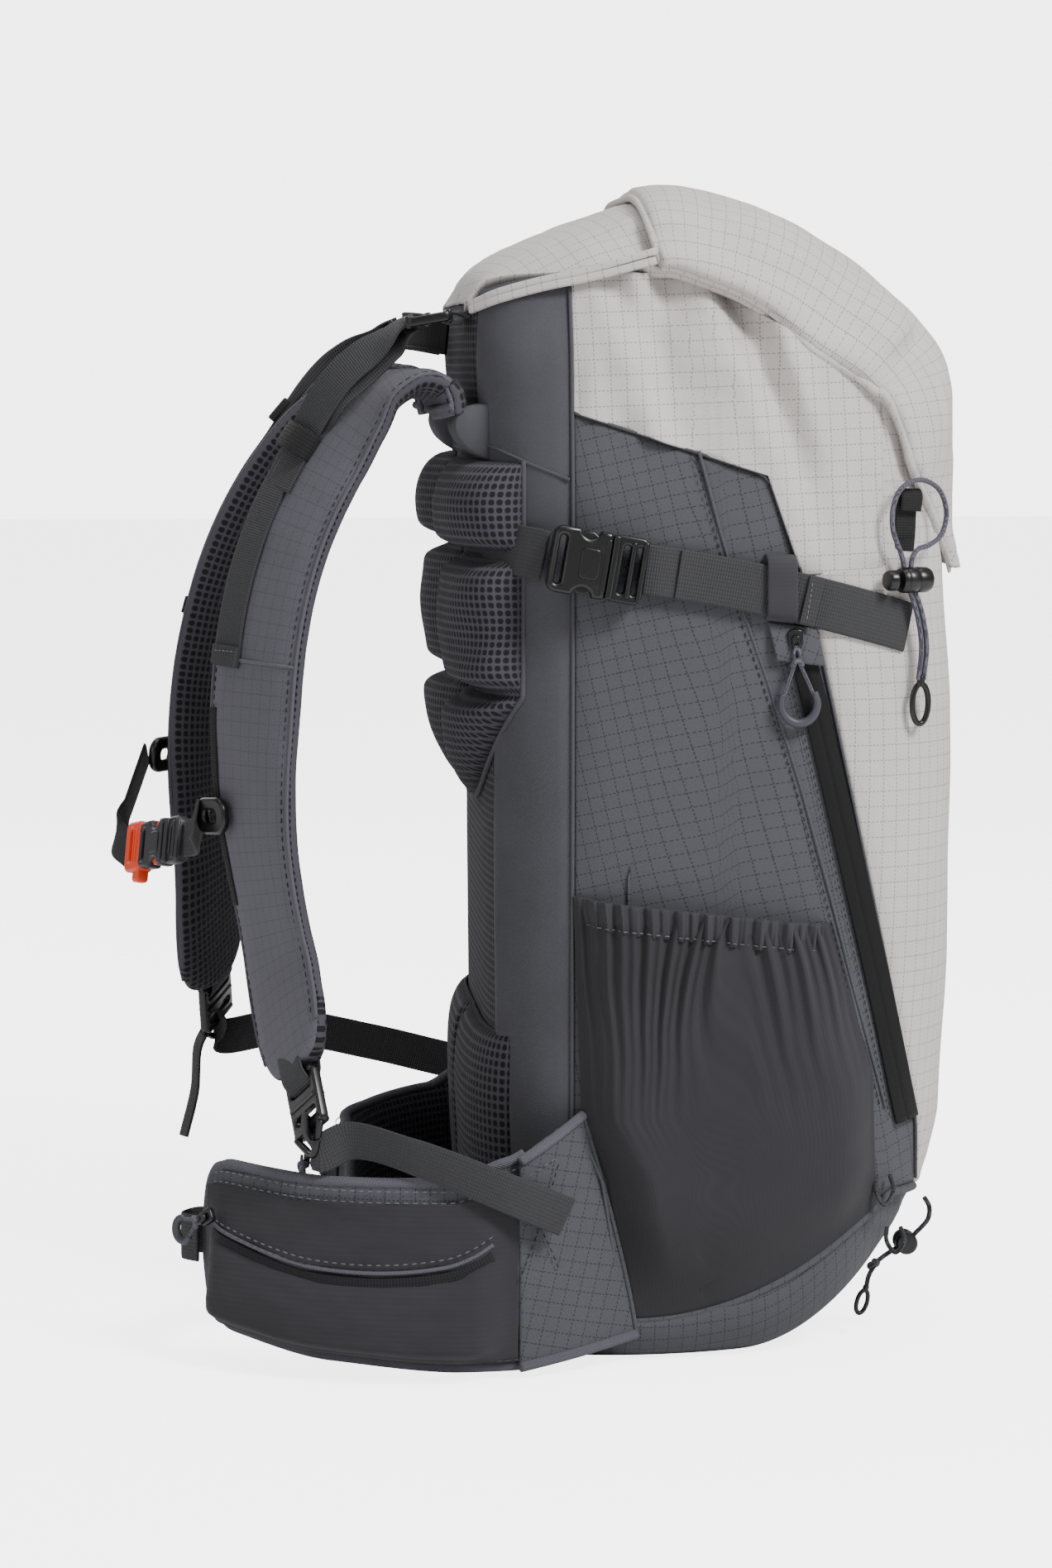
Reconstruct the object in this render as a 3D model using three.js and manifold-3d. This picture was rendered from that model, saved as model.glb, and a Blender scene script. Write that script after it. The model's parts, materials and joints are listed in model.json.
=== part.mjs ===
// A 40-litre roll-top hiking backpack with a padded harness, standing upright.
// Units are millimetres. +Z is up, +Y points toward the wearer's back, and -X is the wearer's left.
// The origin is on the flat underside of the bag, which rests on the floor.
import * as THREE from "three";
import { mergeVertices } from "three/addons/utils/BufferGeometryUtils.js";
import Module from "manifold-3d";

const wasm = await Module();
wasm.setup();

// ---------- driving dimensions ----------
const GAP = 0.4; // clearance between neighbouring pieces
const WALL = 2.4; // thickness of a fabric wall with its lining
const ROUNDNESS = 0.4; // exponent of the bag's rounded-rectangle section
const FRONT_ROUNDNESS = 0.5; // the front face bows a little more
const FRONT_TAPER = 0.1; // how much the section narrows toward the front
const STRIP_Y = 63; // seam between the plain side strip and the ripstop side panel
const BACK_HALF = 104; // half width of the back panel
const FRONT_SEAM_Y = -90; // seam between the upper side panel and the front panel
const TOP_WEBBING = 25; // width of the side compression webbing
const LOW_WEBBING = 20; // width of the harness webbing
const WEB = 1.6; // thickness of webbing
const STRAP_WIDTH = 66; // padded shoulder strap
const STRAP_THICK = 14;
const HINGE_Z = 474; // yoke line that the shoulder straps swing about
const HINGE_Y = 120.5;
const WING_ROOT_Y = 70; // vertical line that a hip wing folds about
const FAR_WING_FOLD = 40; // degrees the right hip wing is folded inward at rest
const FAR_STRAP_SWING = 7.5; // degrees the right shoulder strap hangs further out at rest

// ---------- colours ----------
const cloth = (color) => () => new THREE.MeshStandardMaterial({ color, roughness: 0.85, metalness: 0 });
const plastic = (color) => () => new THREE.MeshStandardMaterial({ color, roughness: 0.4, metalness: 0 });
const lightRipstop = cloth(0xcdc8c6);
const darkRipstop = cloth(0x5b5c62);
const plainDark = cloth(0x55555c);
const strapCloth = cloth(0x66656d);
const meshCloth = cloth(0x4a484f);
const knitCloth = cloth(0x3d3c42);
const webbing = cloth(0x4b4b4d);
const cordSheath = cloth(0x5c5a63);
const blackPlastic = plastic(0x1b1b1d);
const greyPlastic = plastic(0x3b3a40);
const orangePlastic = plastic(0xf25a33);
const framePlastic = plastic(0x202224);
const aluminium = () => new THREE.MeshStandardMaterial({ color: 0xc8cacc, roughness: 0.35, metalness: 1 });

// ---------- shared helpers ----------
const vec = (x, y, z) => new THREE.Vector3(x, y, z);
const mix = THREE.MathUtils.lerp;
const clamp01 = (t) => THREE.MathUtils.clamp(t, 0, 1);
const signedPower = (t, p) => Math.sign(t) * Math.abs(t) ** p;

// Smooth value through named stations [position, value].
function stations(list) {
  return (at) => {
    if (at <= list[0][0]) return list[0][1];
    for (let i = 1; i < list.length; i++) {
      const [a, from] = list[i - 1];
      const [b, to] = list[i];
      if (at <= b) return mix(from, to, THREE.MathUtils.smoothstep(at, a,
        b) * 0.5 + ((at - a) / (b - a)) * 0.5);
    }
    return list.at(-1)[1];
  };
}

// Only positions, with shared vertices merged and the faces turned outward.
function closed(geometry) {
  const bare = geometry.clone();
  bare.deleteAttribute("normal");
  bare.deleteAttribute("uv");
  const merged = mergeVertices(bare, 1e-3);
  const p = merged.attributes.position;
  const index = merged.index.array;
  let volume = 0;
  const [a, b, c] = [vec(), vec(), vec()];
  for (let i = 0; i < index.length; i += 3) {
    a.fromBufferAttribute(p, index[i]);
    b.fromBufferAttribute(p, index[i + 1]);
    c.fromBufferAttribute(p, index[i + 2]);
    volume += a.dot(b.cross(c));
  }
  if (volume < 0) {
    for (let i = 0; i < index.length; i += 3) {
      [index[i + 1], index[i + 2]] = [index[i + 2], index[i + 1]];
    }
  }
  return merged;
}

// A box of nu x nv cells, bent so that its corner (u, v, w) lands on place(u, v, w).
function bent(nu, nv, place) {
  const box = new THREE.BoxGeometry(1, 1, 1, nu, nv, 1);
  const p = box.attributes.position;
  for (let i = 0; i < p.count; i++) {
    const at = place(p.getX(i) + 0.5, p.getY(i) + 0.5, p.getZ(i) + 0.5);
    p.setXYZ(i, at.x, at.y, at.z);
  }
  return closed(box);
}

function toSolid(geometry) {
  const g = closed(geometry);
  return new wasm.Manifold(
    new wasm.Mesh({ numProp: 3, vertProperties: g.attributes.position.array,
      triVerts: new Uint32Array(g.index.array) }),
  );
}

function toGeometry(solid) {
  const m = solid.getMesh();
  const g = new THREE.BufferGeometry();
  g.setAttribute("position", new THREE.BufferAttribute(new Float32Array(m.vertProperties), 3));
  g.setIndex(new THREE.BufferAttribute(new Uint32Array(m.triVerts), 1));
  return g;
}

const joined = (...list) => toGeometry(list.map(toSolid).reduce((a, b) => a.add(b)));
const cutBy = (geometry, ...tools) => toGeometry(tools.map(toSolid).reduce((a, b) => a.subtract(b),
  toSolid(geometry)));

function block(x0, x1, y0, y1, z0, z1) {
  return closed(new THREE.BoxGeometry(x1 - x0, y1 - y0, z1 - z0).translate((x0 + x1) / 2, (y0 + y1) / 2,
    (z0 + z1) / 2));
}

function rod(radius, length, sides = 16) {
  return closed(new THREE.CylinderGeometry(radius, radius, length, sides));
}

function mirrored(geometry) {
  return closed(geometry.clone().scale(-1, 1, 1));
}

// Moves a piece drawn with x along, y across and z outward to a place on the bag.
function placed(geometry, origin, along, outward) {
  const x = along.clone().normalize();
  const y = outward.clone().cross(x).normalize();
  const z = x.clone().cross(y);
  const m = new THREE.Matrix4().makeBasis(x, y, z).setPosition(origin);
  return closed(geometry.clone().applyMatrix4(m));
}

// A rounded rectangle outline centred on the origin.
function roundedOutline(length, width, radius, shape = new THREE.Shape()) {
  const [a, b] = [length / 2, width / 2];
  shape.moveTo(-a + radius, -b);
  shape.lineTo(a - radius, -b);
  shape.absarc(a - radius, -b + radius, radius, -Math.PI / 2, 0);
  shape.lineTo(a, b - radius);
  shape.absarc(a - radius, b - radius, radius, 0, Math.PI / 2);
  shape.lineTo(-a + radius, b);
  shape.absarc(-a + radius, b - radius, radius, Math.PI / 2, Math.PI);
  shape.lineTo(-a, -b + radius);
  shape.absarc(-a + radius, -b + radius, radius, Math.PI, Math.PI * 1.5);
  return shape;
}

function slab(shape, thick) {
  return closed(
    new THREE.ExtrudeGeometry(shape, { depth: thick, bevelEnabled: false, curveSegments: 3 }).translate(0,
      0, -thick / 2),
  );
}

// A strip that follows a curve. across(u) is its width direction and size(u) its [width, thickness].
function strip(curve, across, size, nu, nv = 1) {
  return bent(nu, nv, (u, v, w) => {
    const side = across(u).clone().normalize();
    const normal = curve.getTangent(u).cross(side).normalize();
    const [width, thick] = size(u, v);
    return curve
      .getPoint(u)
      .addScaledVector(side, (v - 0.5) * width)
      .addScaledVector(normal, (w - 0.5) * thick);
  });
}

function tape(points, across, width, nu, thick = WEB) {
  const curve = new THREE.CatmullRomCurve3(points.map((p) => vec(...p)), false, "centripetal");
  return strip(curve, () => vec(...across), () => [width, thick], nu);
}

function cordTube(points, radius, steps) {
  const section = new THREE.Shape();
  const sides = 8;
  for (let i = 0; i < sides; i++) {
    const a = (i / sides) * Math.PI * 2;
    const at = [Math.cos(a) * radius, Math.sin(a) * radius];
    if (i === 0) section.moveTo(...at);
    else section.lineTo(...at);
  }
  const extrudePath = new THREE.CatmullRomCurve3(points.map((p) => vec(...p)), false, "centripetal");
  return closed(new THREE.ExtrudeGeometry(section, { steps, extrudePath, bevelEnabled: false,
    curveSegments: 1 }));
}

// ---------- the bag's outer surface ----------
const halfWidth = stations([[0, 134], [60, 140], [150, 147], [300, 150], [430, 149], [500, 141], [548, 125]]);
const backY = stations([[0, 92], [40, 98], [130, 102], [290, 103], [400, 107], [530, 116]]);
const frontY = stations([
  [60, -119], [85, -127], [120, -134], [200, -138.5], [330, -138], [400, -132.5], [500, -128], [548, -112],
]);

// Angle 0 is the right side, 90 the back, 180 the left side and 270 the front.
function ring(angle, z, lift = 0) {
  const plain = (a) => {
    const [c, s] = [Math.cos(a), Math.sin(a)];
    const depth = (backY(z) - frontY(z)) / 2;
    const y = (backY(z) + frontY(z)) / 2 + depth * signedPower(s, s < 0 ? FRONT_ROUNDNESS : ROUNDNESS);
    const taper = s < 0 ? 1 - FRONT_TAPER * Math.abs(s) : 1;
    return vec(halfWidth(z) * signedPower(c, ROUNDNESS) * taper, y, z);
  };
  const a = THREE.MathUtils.degToRad(angle);
  const step = 0.004;
  const along = plain(a + step).sub(plain(a - step));
  const normal = vec(along.y, -along.x, 0).normalize();
  return plain(a).addScaledVector(normal, lift);
}

// The angle on the left side where the surface is at a given y, or on the back at a given x.
function leftAngle(y, z) {
  const share = (y - (backY(z) + frontY(z)) / 2) / ((backY(z) - frontY(z)) / 2);
  const power = 1 / (share < 0 ? FRONT_ROUNDNESS : ROUNDNESS);
  return 180 - THREE.MathUtils.radToDeg(Math.asin(signedPower(THREE.MathUtils.clamp(share, -1, 1), power)));
}

function backAngle(x, z) {
  return THREE.MathUtils.radToDeg(Math.acos(signedPower(x / halfWidth(z), 1 / ROUNDNESS)));
}

// A wall panel between four edges given as functions of 0..1 that return [angle, z].
function wallPatch(edges, nu, nv, lift) {
  return bent(nu, nv, (u, v, w) => {
    const at = [0, 1].map((k) => {
      const sides = mix(edges.left(v)[k], edges.right(v)[k], u);
      const ends = mix(edges.bottom(u)[k], edges.top(u)[k], v);
      const corners = mix(
        mix(edges.bottom(0)[k], edges.bottom(1)[k], u),
        mix(edges.top(0)[k], edges.top(1)[k], u),
        v,
      );
      return sides + ends - corners;
    });
    return ring(at[0], at[1], lift(u, v, w));
  });
}

const sheet = (u, v, w) => (w - 1) * WALL;

// A straight-sided path on the left side through [y, z] points.
function sidePath(points) {
  const path = new THREE.CurvePath();
  for (let i = 1; i < points.length; i++) {
    path.add(new THREE.LineCurve(new THREE.Vector2(...points[i - 1]), new THREE.Vector2(...points[i])));
  }
  return (t) => {
    const p = path.getPoint(clamp01(t));
    return [leftAngle(p.x, p.y), p.y];
  };
}

// ---------- seams of the side ----------
const baseSeam = (y) => Math.min(80, 19 + 0.0035 * Math.max(0, 32 - y) ** 2);
const baseZ = (y) => 0.0085 * Math.max(0, -25 - y) ** 2;
const hemZ = stations([[-92, 497], [-24, 537], [23, 549], [62, 545], [115, 531]]);
const BASE_CORNER_Y = -117;
const boundary = [[BASE_CORNER_Y, 84], [-114, 120], [-58, 368], [-50, 398], [-33, 446]];
const shifted = (points, dy, dz = 0) => points.map(([y, z]) => [y + dy, z + dz]);

function sidePanel() {
  const bottom = (u) => {
    const y = mix(STRIP_Y - GAP, BASE_CORNER_Y + GAP, u);
    return [leftAngle(y, baseSeam(y) + 3.6), baseSeam(y) + 3.6];
  };
  const edges = {
    left: sidePath([[STRIP_Y - GAP, 22.6], [STRIP_Y - GAP, 477 - GAP]]),
    right: sidePath(shifted(boundary, GAP, -GAP)),
    bottom,
    top: sidePath([[STRIP_Y - GAP, 477 - GAP], [-33 + GAP, 446 - GAP]]),
  };
  return wallPatch(edges, 9, 12, sheet);
}

function upperPanel() {
  const edges = {
    left: sidePath([[STRIP_Y - GAP, 477], [STRIP_Y - GAP, hemZ(STRIP_Y) - 3]]),
    right: sidePath([[-50 - GAP, 399], [FRONT_SEAM_Y + GAP, 404], [FRONT_SEAM_Y + GAP,
      hemZ(FRONT_SEAM_Y) - 8]]),
    bottom: sidePath([[STRIP_Y - GAP, 477], [-33, 446], [-50 - GAP, 399]]),
    top: sidePath([
      [STRIP_Y - GAP, hemZ(STRIP_Y) - 3], [0, hemZ(0) - 3], [-50, 503], [FRONT_SEAM_Y + GAP,
        hemZ(FRONT_SEAM_Y) - 8],
    ]),
  };
  return wallPatch(edges, 9, 6, sheet);
}

function sideStrip() {
  const back = (z) => backAngle(-BACK_HALF - GAP, z);
  const top = 525;
  const edges = {
    left: (t) => [back(mix(12, top, t)), mix(12, top, t)],
    right: (t) => {
      const z = mix(19, 538, t);
      return [leftAngle(STRIP_Y + GAP, z), z];
    },
    bottom: (t) => [mix(back(12), leftAngle(STRIP_Y + GAP, 19), t), mix(12, 19, t)],
    top: (t) => [mix(back(top), leftAngle(STRIP_Y + GAP, 538), t), mix(top, 538, t)],
  };
  return wallPatch(edges, 5, 12, sheet);
}

function backPanel() {
  return bent(8, 12, (u, v, w) => {
    const z = mix(0, 525, v);
    return ring(backAngle(mix(-BACK_HALF, BACK_HALF, u), z), z, (w - 1) * WALL);
  });
}

function frontPanel() {
  // One edge of the panel, from the base up along the side panel, and on along the upper panel's seam.
  const edge = [[BASE_CORNER_Y, 85], [-114, 120], [-58, 366], [-54, 388], [FRONT_SEAM_Y, 395],
    [FRONT_SEAM_Y, 486]];
  const seam = sidePath(shifted(edge, -GAP));
  return bent(12, 16, (u, v, w) => {
    const [angle, z] = seam(v);
    const left = angle;
    const right = 540 - angle;
    return ring(mix(left, right, u), z, (w - 1) * WALL);
  });
}

function basePanel() {
  const across = (u, y) => {
    const rise = baseSeam(y) - baseZ(y) - 2 * GAP;
    const half = Math.abs(ring(leftAngle(THREE.MathUtils.clamp(y, -116, 70), 40), 40).x) - 1;
    const s = 2 * u - 1;
    const flat = 0.7;
    if (Math.abs(s) <= flat) return [(s / flat) * (half - rise), 0];
    const a = ((Math.abs(s) - flat) / (1 - flat)) * (Math.PI / 2);
    return [Math.sign(s) * (half - rise + rise * Math.sin(a)), rise * (1 - Math.cos(a))];
  };
  return bent(14, 12, (u, v, w) => {
    const y = mix(81, -118, v);
    const [x, up] = across(u, y);
    const inward = vec(-x * 0.012, 0, 1).normalize();
    return vec(x, y, baseZ(y) + up).addScaledVector(inward, (1 - w) * WALL);
  });
}

// A stretch pocket stands off the side panel between its sewn edges and is open along its hem.
function stretchPocket() {
  const edges = {
    left: sidePath([[33, 26], [45, 94], [58, 126], [STRIP_Y - 2, 238]]),
    right: sidePath([[-92, 96], [-66, 223]]),
    bottom: sidePath([[33, 26], [-30, 44], [-92, 96]]),
    top: sidePath([[STRIP_Y - 2, 238], [-66, 223]]),
  };
  const belly = (u, v) => 14 * clamp01(Math.min(u, 1 - u) / 0.12) * clamp01(v / 0.14);
  return wallPatch(edges, 10, 6, (u, v, w) => GAP + belly(u, v) + w * 2);
}

// ---------- back padding ----------
const bulge = (t) => 1 - (2 * t - 1) ** 4;

function backPad() {
  const outer = (z) => leftAngle(86, z);
  const inner = (z) => backAngle(-17, z);
  const z0 = (u) => mix(276, 336, u);
  const edges = {
    left: (t) => [inner(mix(z0(0), 455, t)), mix(z0(0), 455, t)],
    right: (t) => [outer(mix(z0(1), 452, t)), mix(z0(1), 452, t)],
    bottom: (t) => [mix(inner(z0(t)), outer(z0(t)), t), z0(t)],
    top: (t) => [mix(inner(455), outer(452), t), mix(455, 452, t)],
  };
  const cells = (v) => Math.abs(Math.sin(v * 3 * Math.PI)) ** 0.4;
  return wallPatch(edges, 6, 12, (u, v, w) => 1 + w * (4 + 16 * bulge(u) * mix(0.7, 1,
    cells(v)) * bulge(v) ** 0.3));
}

function lumbarPad() {
  const edge = (t) => mix(30, 165, t);
  const angle = (x, t) => backAngle(x, edge(t));
  return bent(12, 6, (u, v, w) => {
    const reach = mix(112, 122, v);
    const crown = 2 + w * (3 + 8 * bulge(u) * bulge(v));
    return ring(angle(mix(-reach, reach, u), v), edge(v), crown);
  });
}

// ---------- lid ----------
// The lid folds over the top: it rises from the back edge to a ridge, falls to the front and ends in a flap.
const lidLine = new THREE.CatmullRomCurve3(
  [
    [114, 532], [106, 548], [65, 569.5], [12, 585], [-50, 572], [-86, 553], [-118, 527], [-134, 503],
    [-139.5, 455], [-141, 398],
  ].map(([y, z]) => vec(0, y, z)),
  false,
  "centripetal",
);
const lidHalf = stations([[0, 100], [0.165, 126], [0.27, 130], [0.385, 133], [0.57, 137], [0.72, 136],
  [0.86, 133], [1, 96]]);
const lidDrop = stations([[0, 1], [0.165, 24], [0.27, 36], [0.385, 42], [0.57, 54], [0.72, 48], [0.86, 33],
  [1, 6]]);

function lidPoint(u, v, depth) {
  const s = 2 * v - 1;
  const centre = lidLine.getPointAt(u);
  const tangent = lidLine.getTangentAt(u);
  const down = vec(0, -tangent.z, tangent.y).normalize(); // into the bag
  const edge = Math.abs(s) ** 5;
  const side = vec(Math.sign(s), 0, 0);
  const inward = down.clone().lerp(side.multiplyScalar(-1), clamp01(edge * lidDrop(u) * 0.04)).normalize();
  return vec(s * lidHalf(u), centre.y, centre.z)
    .addScaledVector(down, edge * lidDrop(u))
    .addScaledVector(inward, depth);
}

const lid = () => bent(22, 12, (u, v, w) => lidPoint(u, v, (1 - w) * 3.6));

// ---------- buckles ----------
// Side-release socket: x runs toward the plug, whose shoulder meets it at x = 0.
function socket(length, width, thick) {
  const body = slab(roundedOutline(length, width, 5), thick).translate(-length / 2, 0, 0);
  const wall = 2.2;
  const bore = block(-length + 9, 1, -width / 2 + 3.2, width / 2 - 3.2, -thick / 2 + wall, thick / 2 - wall);
  const windows = block(-length * 0.52, -length * 0.2, -width, width, -thick / 2 + wall, thick / 2 - wall);
  const slot = block(-length + 3, -length + 6.2, -width / 2 + 4, width / 2 - 4, -thick, thick);
  return cutBy(body, bore, windows, slot);
}

// Plug: two prongs reach into the socket and a slotted frame holds the webbing.
function plug(length, width, thick, reach) {
  const frame = slab(roundedOutline(length, width, 4), thick * 0.66).translate(GAP + length / 2, 0, 0);
  const prongWidth = 4.6;
  const prongAt = width / 2 - 3.2 - GAP - prongWidth;
  const half = thick / 2 - 2.2 - GAP;
  const prongs = [-1, 1].map((k) => {
    const [a, b] = [k * prongAt, k * (prongAt + prongWidth)];
    return block(-reach, GAP + 1, Math.min(a, b), Math.max(a, b), -half, half);
  });
  const guide = block(-reach * 0.7, GAP + 1, -2, 2, -half, half);
  const slots = [0.3, 0.66].map((k) =>
    block(GAP + length * k, GAP + length * k + 4, -width / 2 + 4, width / 2 - 4, -thick, thick));
  return cutBy(joined(frame, ...prongs, guide), ...slots);
}

// Ladder lock: a flat frame with two webbing slots.
function ladderLock(length, width, thick) {
  const frame = slab(roundedOutline(length, width, 4), thick);
  const slots = [-0.24, 0.22].map((k) =>
    block(length * k - 2.4, length * k + 2.4, -width / 2 + 4, width / 2 - 4, -thick, thick));
  return cutBy(frame, ...slots);
}

// ---------- shoulder harness ----------
const strapLine = new THREE.CatmullRomCurve3(
  [
    [-86, HINGE_Y, HINGE_Z + 1], [-86, 125, 487], [-86, 137, 492], [-86, 153, 487], [-86, 168, 472],
    [-87, 184, 450], [-89, 202, 414], [-92, 214, 370], [-94, 219, 320], [-95, 218, 270], [-101, 208, 208],
    [-114, 203, 178], [-130, 198, 151],
  ].map((p) => vec(...p)),
  false,
  "centripetal",
);
const strapSplay = stations([[0, 0.1], [0.2, 0.3], [0.4, 0.68], [0.65, 0.68], [0.8, 0.5], [1, 0.45]]);

// The strap's own frame: centre, width direction (toward the spine) and outward normal.
function strapFrame(u) {
  const centre = strapLine.getPoint(u);
  const tangent = strapLine.getTangent(u);
  const turn = strapSplay(u);
  const across = vec(Math.cos(turn), Math.sin(turn), 0);
  across.addScaledVector(tangent, -across.dot(tangent)).normalize();
  const out = across.clone().cross(tangent).normalize();
  if (out.y + out.z < 0) out.negate();
  return { centre, tangent, across, out };
}

function onStrap(u, side, lift) {
  const f = strapFrame(u);
  return f.centre.clone().addScaledVector(f.across, side).addScaledVector(f.out, lift);
}

function shoulderStrap() {
  const width = (u) => STRAP_WIDTH * mix(1, 0.5, clamp01((u - 0.88) / 0.12) ** 2);
  return bent(24, 4, (u, v, w) => {
    const s = 2 * v - 1;
    const thick = STRAP_THICK * (1 - 0.45 * s ** 4);
    return onStrap(u, (s * width(u)) / 2, (w - 0.5) * thick);
  });
}

// The lifter webbing lies on the strap's outer face and then bridges to the buckle at the top of the bag.
const LIFTER = vec(-92, 131.5, 523);
const swung = (point, degrees) => {
  const hinge = vec(0, HINGE_Y, HINGE_Z);
  return point.clone().sub(hinge).applyAxisAngle(vec(1, 0, 0), THREE.MathUtils.degToRad(degrees)).add(hinge);
};

function lifterWebbing(swing) {
  const lying = [0.62, 0.57, 0.52, 0.47, 0.42].map((u) => swung(onStrap(u, 17, STRAP_THICK / 2 + 4.2),
    swing));
  const bridge = [swung(vec(-88, 176, 494), swing * 0.7), vec(-91, 152, 514), vec(-92, 147, 519)];
  const curve = new THREE.CatmullRomCurve3([...lying, ...bridge], false, "centripetal");
  const across = (u) => (u > 0.6 ? vec(1, 0, 0) : vec(0.95, 0.31, 0));
  return strip(curve, across, () => [LOW_WEBBING, WEB], 18);
}

const LIFTER_OUT = vec(0, 0.17, 0.985);
const lifterBuckle = () => {
  return placed(ladderLock(24, 28, 5), LIFTER, vec(0, 0.985, -0.17), LIFTER_OUT);
};

// ---------- sternum strap ----------
const STERNUM_U = 0.742;
const sternumFrom = vec(-45, 247, 259);
const sternumTo = vec(30, 287, 243);
const sternumDir = sternumTo.clone().sub(sternumFrom).normalize();
const sternumOut = vec(-0.45, 0.85, 0.2);
const sternumMeet = sternumFrom.clone().addScaledVector(sternumDir, 34);

function slider() {
  const f = strapFrame(STERNUM_U);
  const origin = onStrap(STERNUM_U, STRAP_WIDTH / 2 - 9, STRAP_THICK / 2 + 4.2);
  const body = slab(roundedOutline(26, 19, 8), 4.4);
  const eye = rod(3.2, 12, 10).rotateX(Math.PI / 2);
  return placed(cutBy(body, eye), origin, f.tangent, f.out);
}

const sternumPlug = () => placed(plug(15, 25, 9, 16), sternumMeet, sternumDir.clone().negate(), sternumOut);
const sternumSocket = () => placed(socket(28, 25, 9), sternumMeet, sternumDir.clone().negate(), sternumOut);
const whistle = () => {
  const origin = sternumMeet.clone().addScaledVector(sternumDir, 28 + GAP);
  const body = slab(roundedOutline(17, 27, 3), 10).translate(8.5, 0, 0);
  const chamber = block(4, 13, -9, 9, -1, 12);
  return placed(cutBy(body, chamber), origin, sternumDir, sternumOut);
};

function sternumNearWebbing() {
  const from = onStrap(STERNUM_U, STRAP_WIDTH / 2 - 2, STRAP_THICK / 2 + 11);
  const to = sternumMeet.clone().addScaledVector(sternumDir, -19);
  const middle = from.clone().lerp(to, 0.5);
  return tape([from.toArray(), middle.toArray(), to.toArray()], [0, -0.2, 1], LOW_WEBBING, 6);
}

function sternumFarWebbing() {
  const end = swung(onStrap(STERNUM_U, STRAP_WIDTH / 2 - 2, STRAP_THICK / 2 + 11), FAR_STRAP_SWING);
  const from = sternumMeet.clone().addScaledVector(sternumDir, 48);
  const points = [from.toArray(), [44, 291, 250], [56, 286, 262], [-end.x, end.y, end.z]];
  return tape(points, [0.1, -0.2, 1], LOW_WEBBING, 10);
}

// ---------- hip belt ----------
const wingLine = new THREE.CatmullRomCurve3(
  [
    [-155, WING_ROOT_Y + 1], [-163, 100], [-164, 130], [-157, 165], [-141, 200], [-117, 230], [-97, 244],
  ].map(([x, y]) => vec(x, y, 0)),
  false,
  "centripetal",
);
const wingTop = stations([[0, 122], [0.14, 108], [0.3, 98], [0.6, 97], [0.85, 100], [0.95, 96], [1, 84]]);
const wingLow = stations([[0, 6], [0.3, 6], [0.6, 10], [0.85, 18], [0.95, 24], [1, 36]]);
const wingThick = stations([[0, 6], [0.12, 13], [0.9, 13], [1, 6]]);

function wingPoint(u, height, lift) {
  const t = wingLine.getTangent(u);
  const out = vec(-t.y, t.x, 0).normalize();
  const at = wingLine.getPoint(u).addScaledVector(out, lift);
  at.z = mix(wingLow(u), wingTop(u), height);
  return at;
}

const hipWing = () =>
  bent(16, 4, (u, v, w) => wingPoint(u, v, (w - 0.5) * wingThick(u) * (1 - 0.4 * (2 * v - 1) ** 4)));

// The pocket is a pouch on the wing, open along its zip line near the top.
function hipPocket() {
  const rise = (u, v) => 13 * clamp01(Math.min(u, 1 - u) / 0.13) * clamp01(v / 0.25);
  return bent(12, 5, (u, v, w) => {
    const at = mix(0.2, 0.93, u);
    return wingPoint(at, mix(0.08, 0.74, v), 7.2 + rise(u, v) + w * 2);
  });
}

function hipTab() {
  const edges = {
    left: sidePath([[WING_ROOT_Y - 2, 20], [WING_ROOT_Y - 2, 120]]),
    right: sidePath([[35, 20], [47, 94], [60, 124]]),
    bottom: sidePath([[WING_ROOT_Y - 2, 20], [35, 20]]),
    top: sidePath([[WING_ROOT_Y - 2, 120], [60, 124]]),
  };
  return wallPatch(edges, 3, 6, (u, v, w) => GAP + w * 4.6);
}

// A zip slider with its pull: a body, a cord stem and a U-shaped grip.
function zipPull(stem) {
  const body = slab(roundedOutline(9, 7, 2), 4);
  const cord = block(3, stem + 6, -1.4, 1.4, -0.9, 0.9);
  const grip = slab(roundedOutline(24, 20, 9), 3.4).translate(stem + 14, 0, 0);
  const finger = slab(roundedOutline(14, 11, 5), 9).translate(stem + 13, 0, 0);
  return joined(body, cord, cutBy(grip, finger));
}

const wingFrame = (u, height, lift) => {
  const t = wingLine.getTangent(u);
  return { at: wingPoint(u, height, lift), along: t, out: vec(-t.y, t.x, 0).normalize() };
};

function hipZipPull() {
  const f = wingFrame(0.83, 0.74, 26);
  return placed(zipPull(12), f.at, vec(0, 0, -1), f.out);
}

// Webbing from the wing tip with a buckle half at its end, tucked behind the wing.
function hipSocket() {
  const f = wingFrame(0.99, 0.5, -11.5);
  const along = vec(0.85, -0.5, 0);
  const half = joined(socket(40, 38, 11), block(-60, -36.5, -14, 14, -0.9, 0.9));
  const origin = f.at.clone().addScaledVector(along, 64);
  return placed(half, origin, along, vec(-0.5, -0.85, 0));
}

function hipPlug() {
  const f = wingFrame(0.97, 0.5, 0);
  const half = joined(plug(20, 38, 11, 20), block(19, 44, -14, 14, -0.9, 0.9));
  const origin = f.at.clone().addScaledVector(f.out, -30);
  return placed(half, origin, f.along.clone(), f.out);
}

// ---------- lower harness webbing ----------
function ladderLockLeft() {
  const f = strapFrame(0.985);
  const origin = onStrap(1, 0, 0).addScaledVector(f.tangent, 19);
  return placed(ladderLock(32, 30, 5), origin, f.tangent, f.out);
}

const lockEnd = (swing) => swung(onStrap(1, 0, 0).addScaledVector(strapFrame(0.985).tangent, 46), swing);

function lowerWebbing() {
  const points = [lockEnd(0).toArray(), [-153, 174, 118], [-170, 142, 112], [-178, 102, 97], [-174, 68, 82]];
  return tape(points, [-0.1, 0.35, 1], LOW_WEBBING, 12);
}

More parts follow.
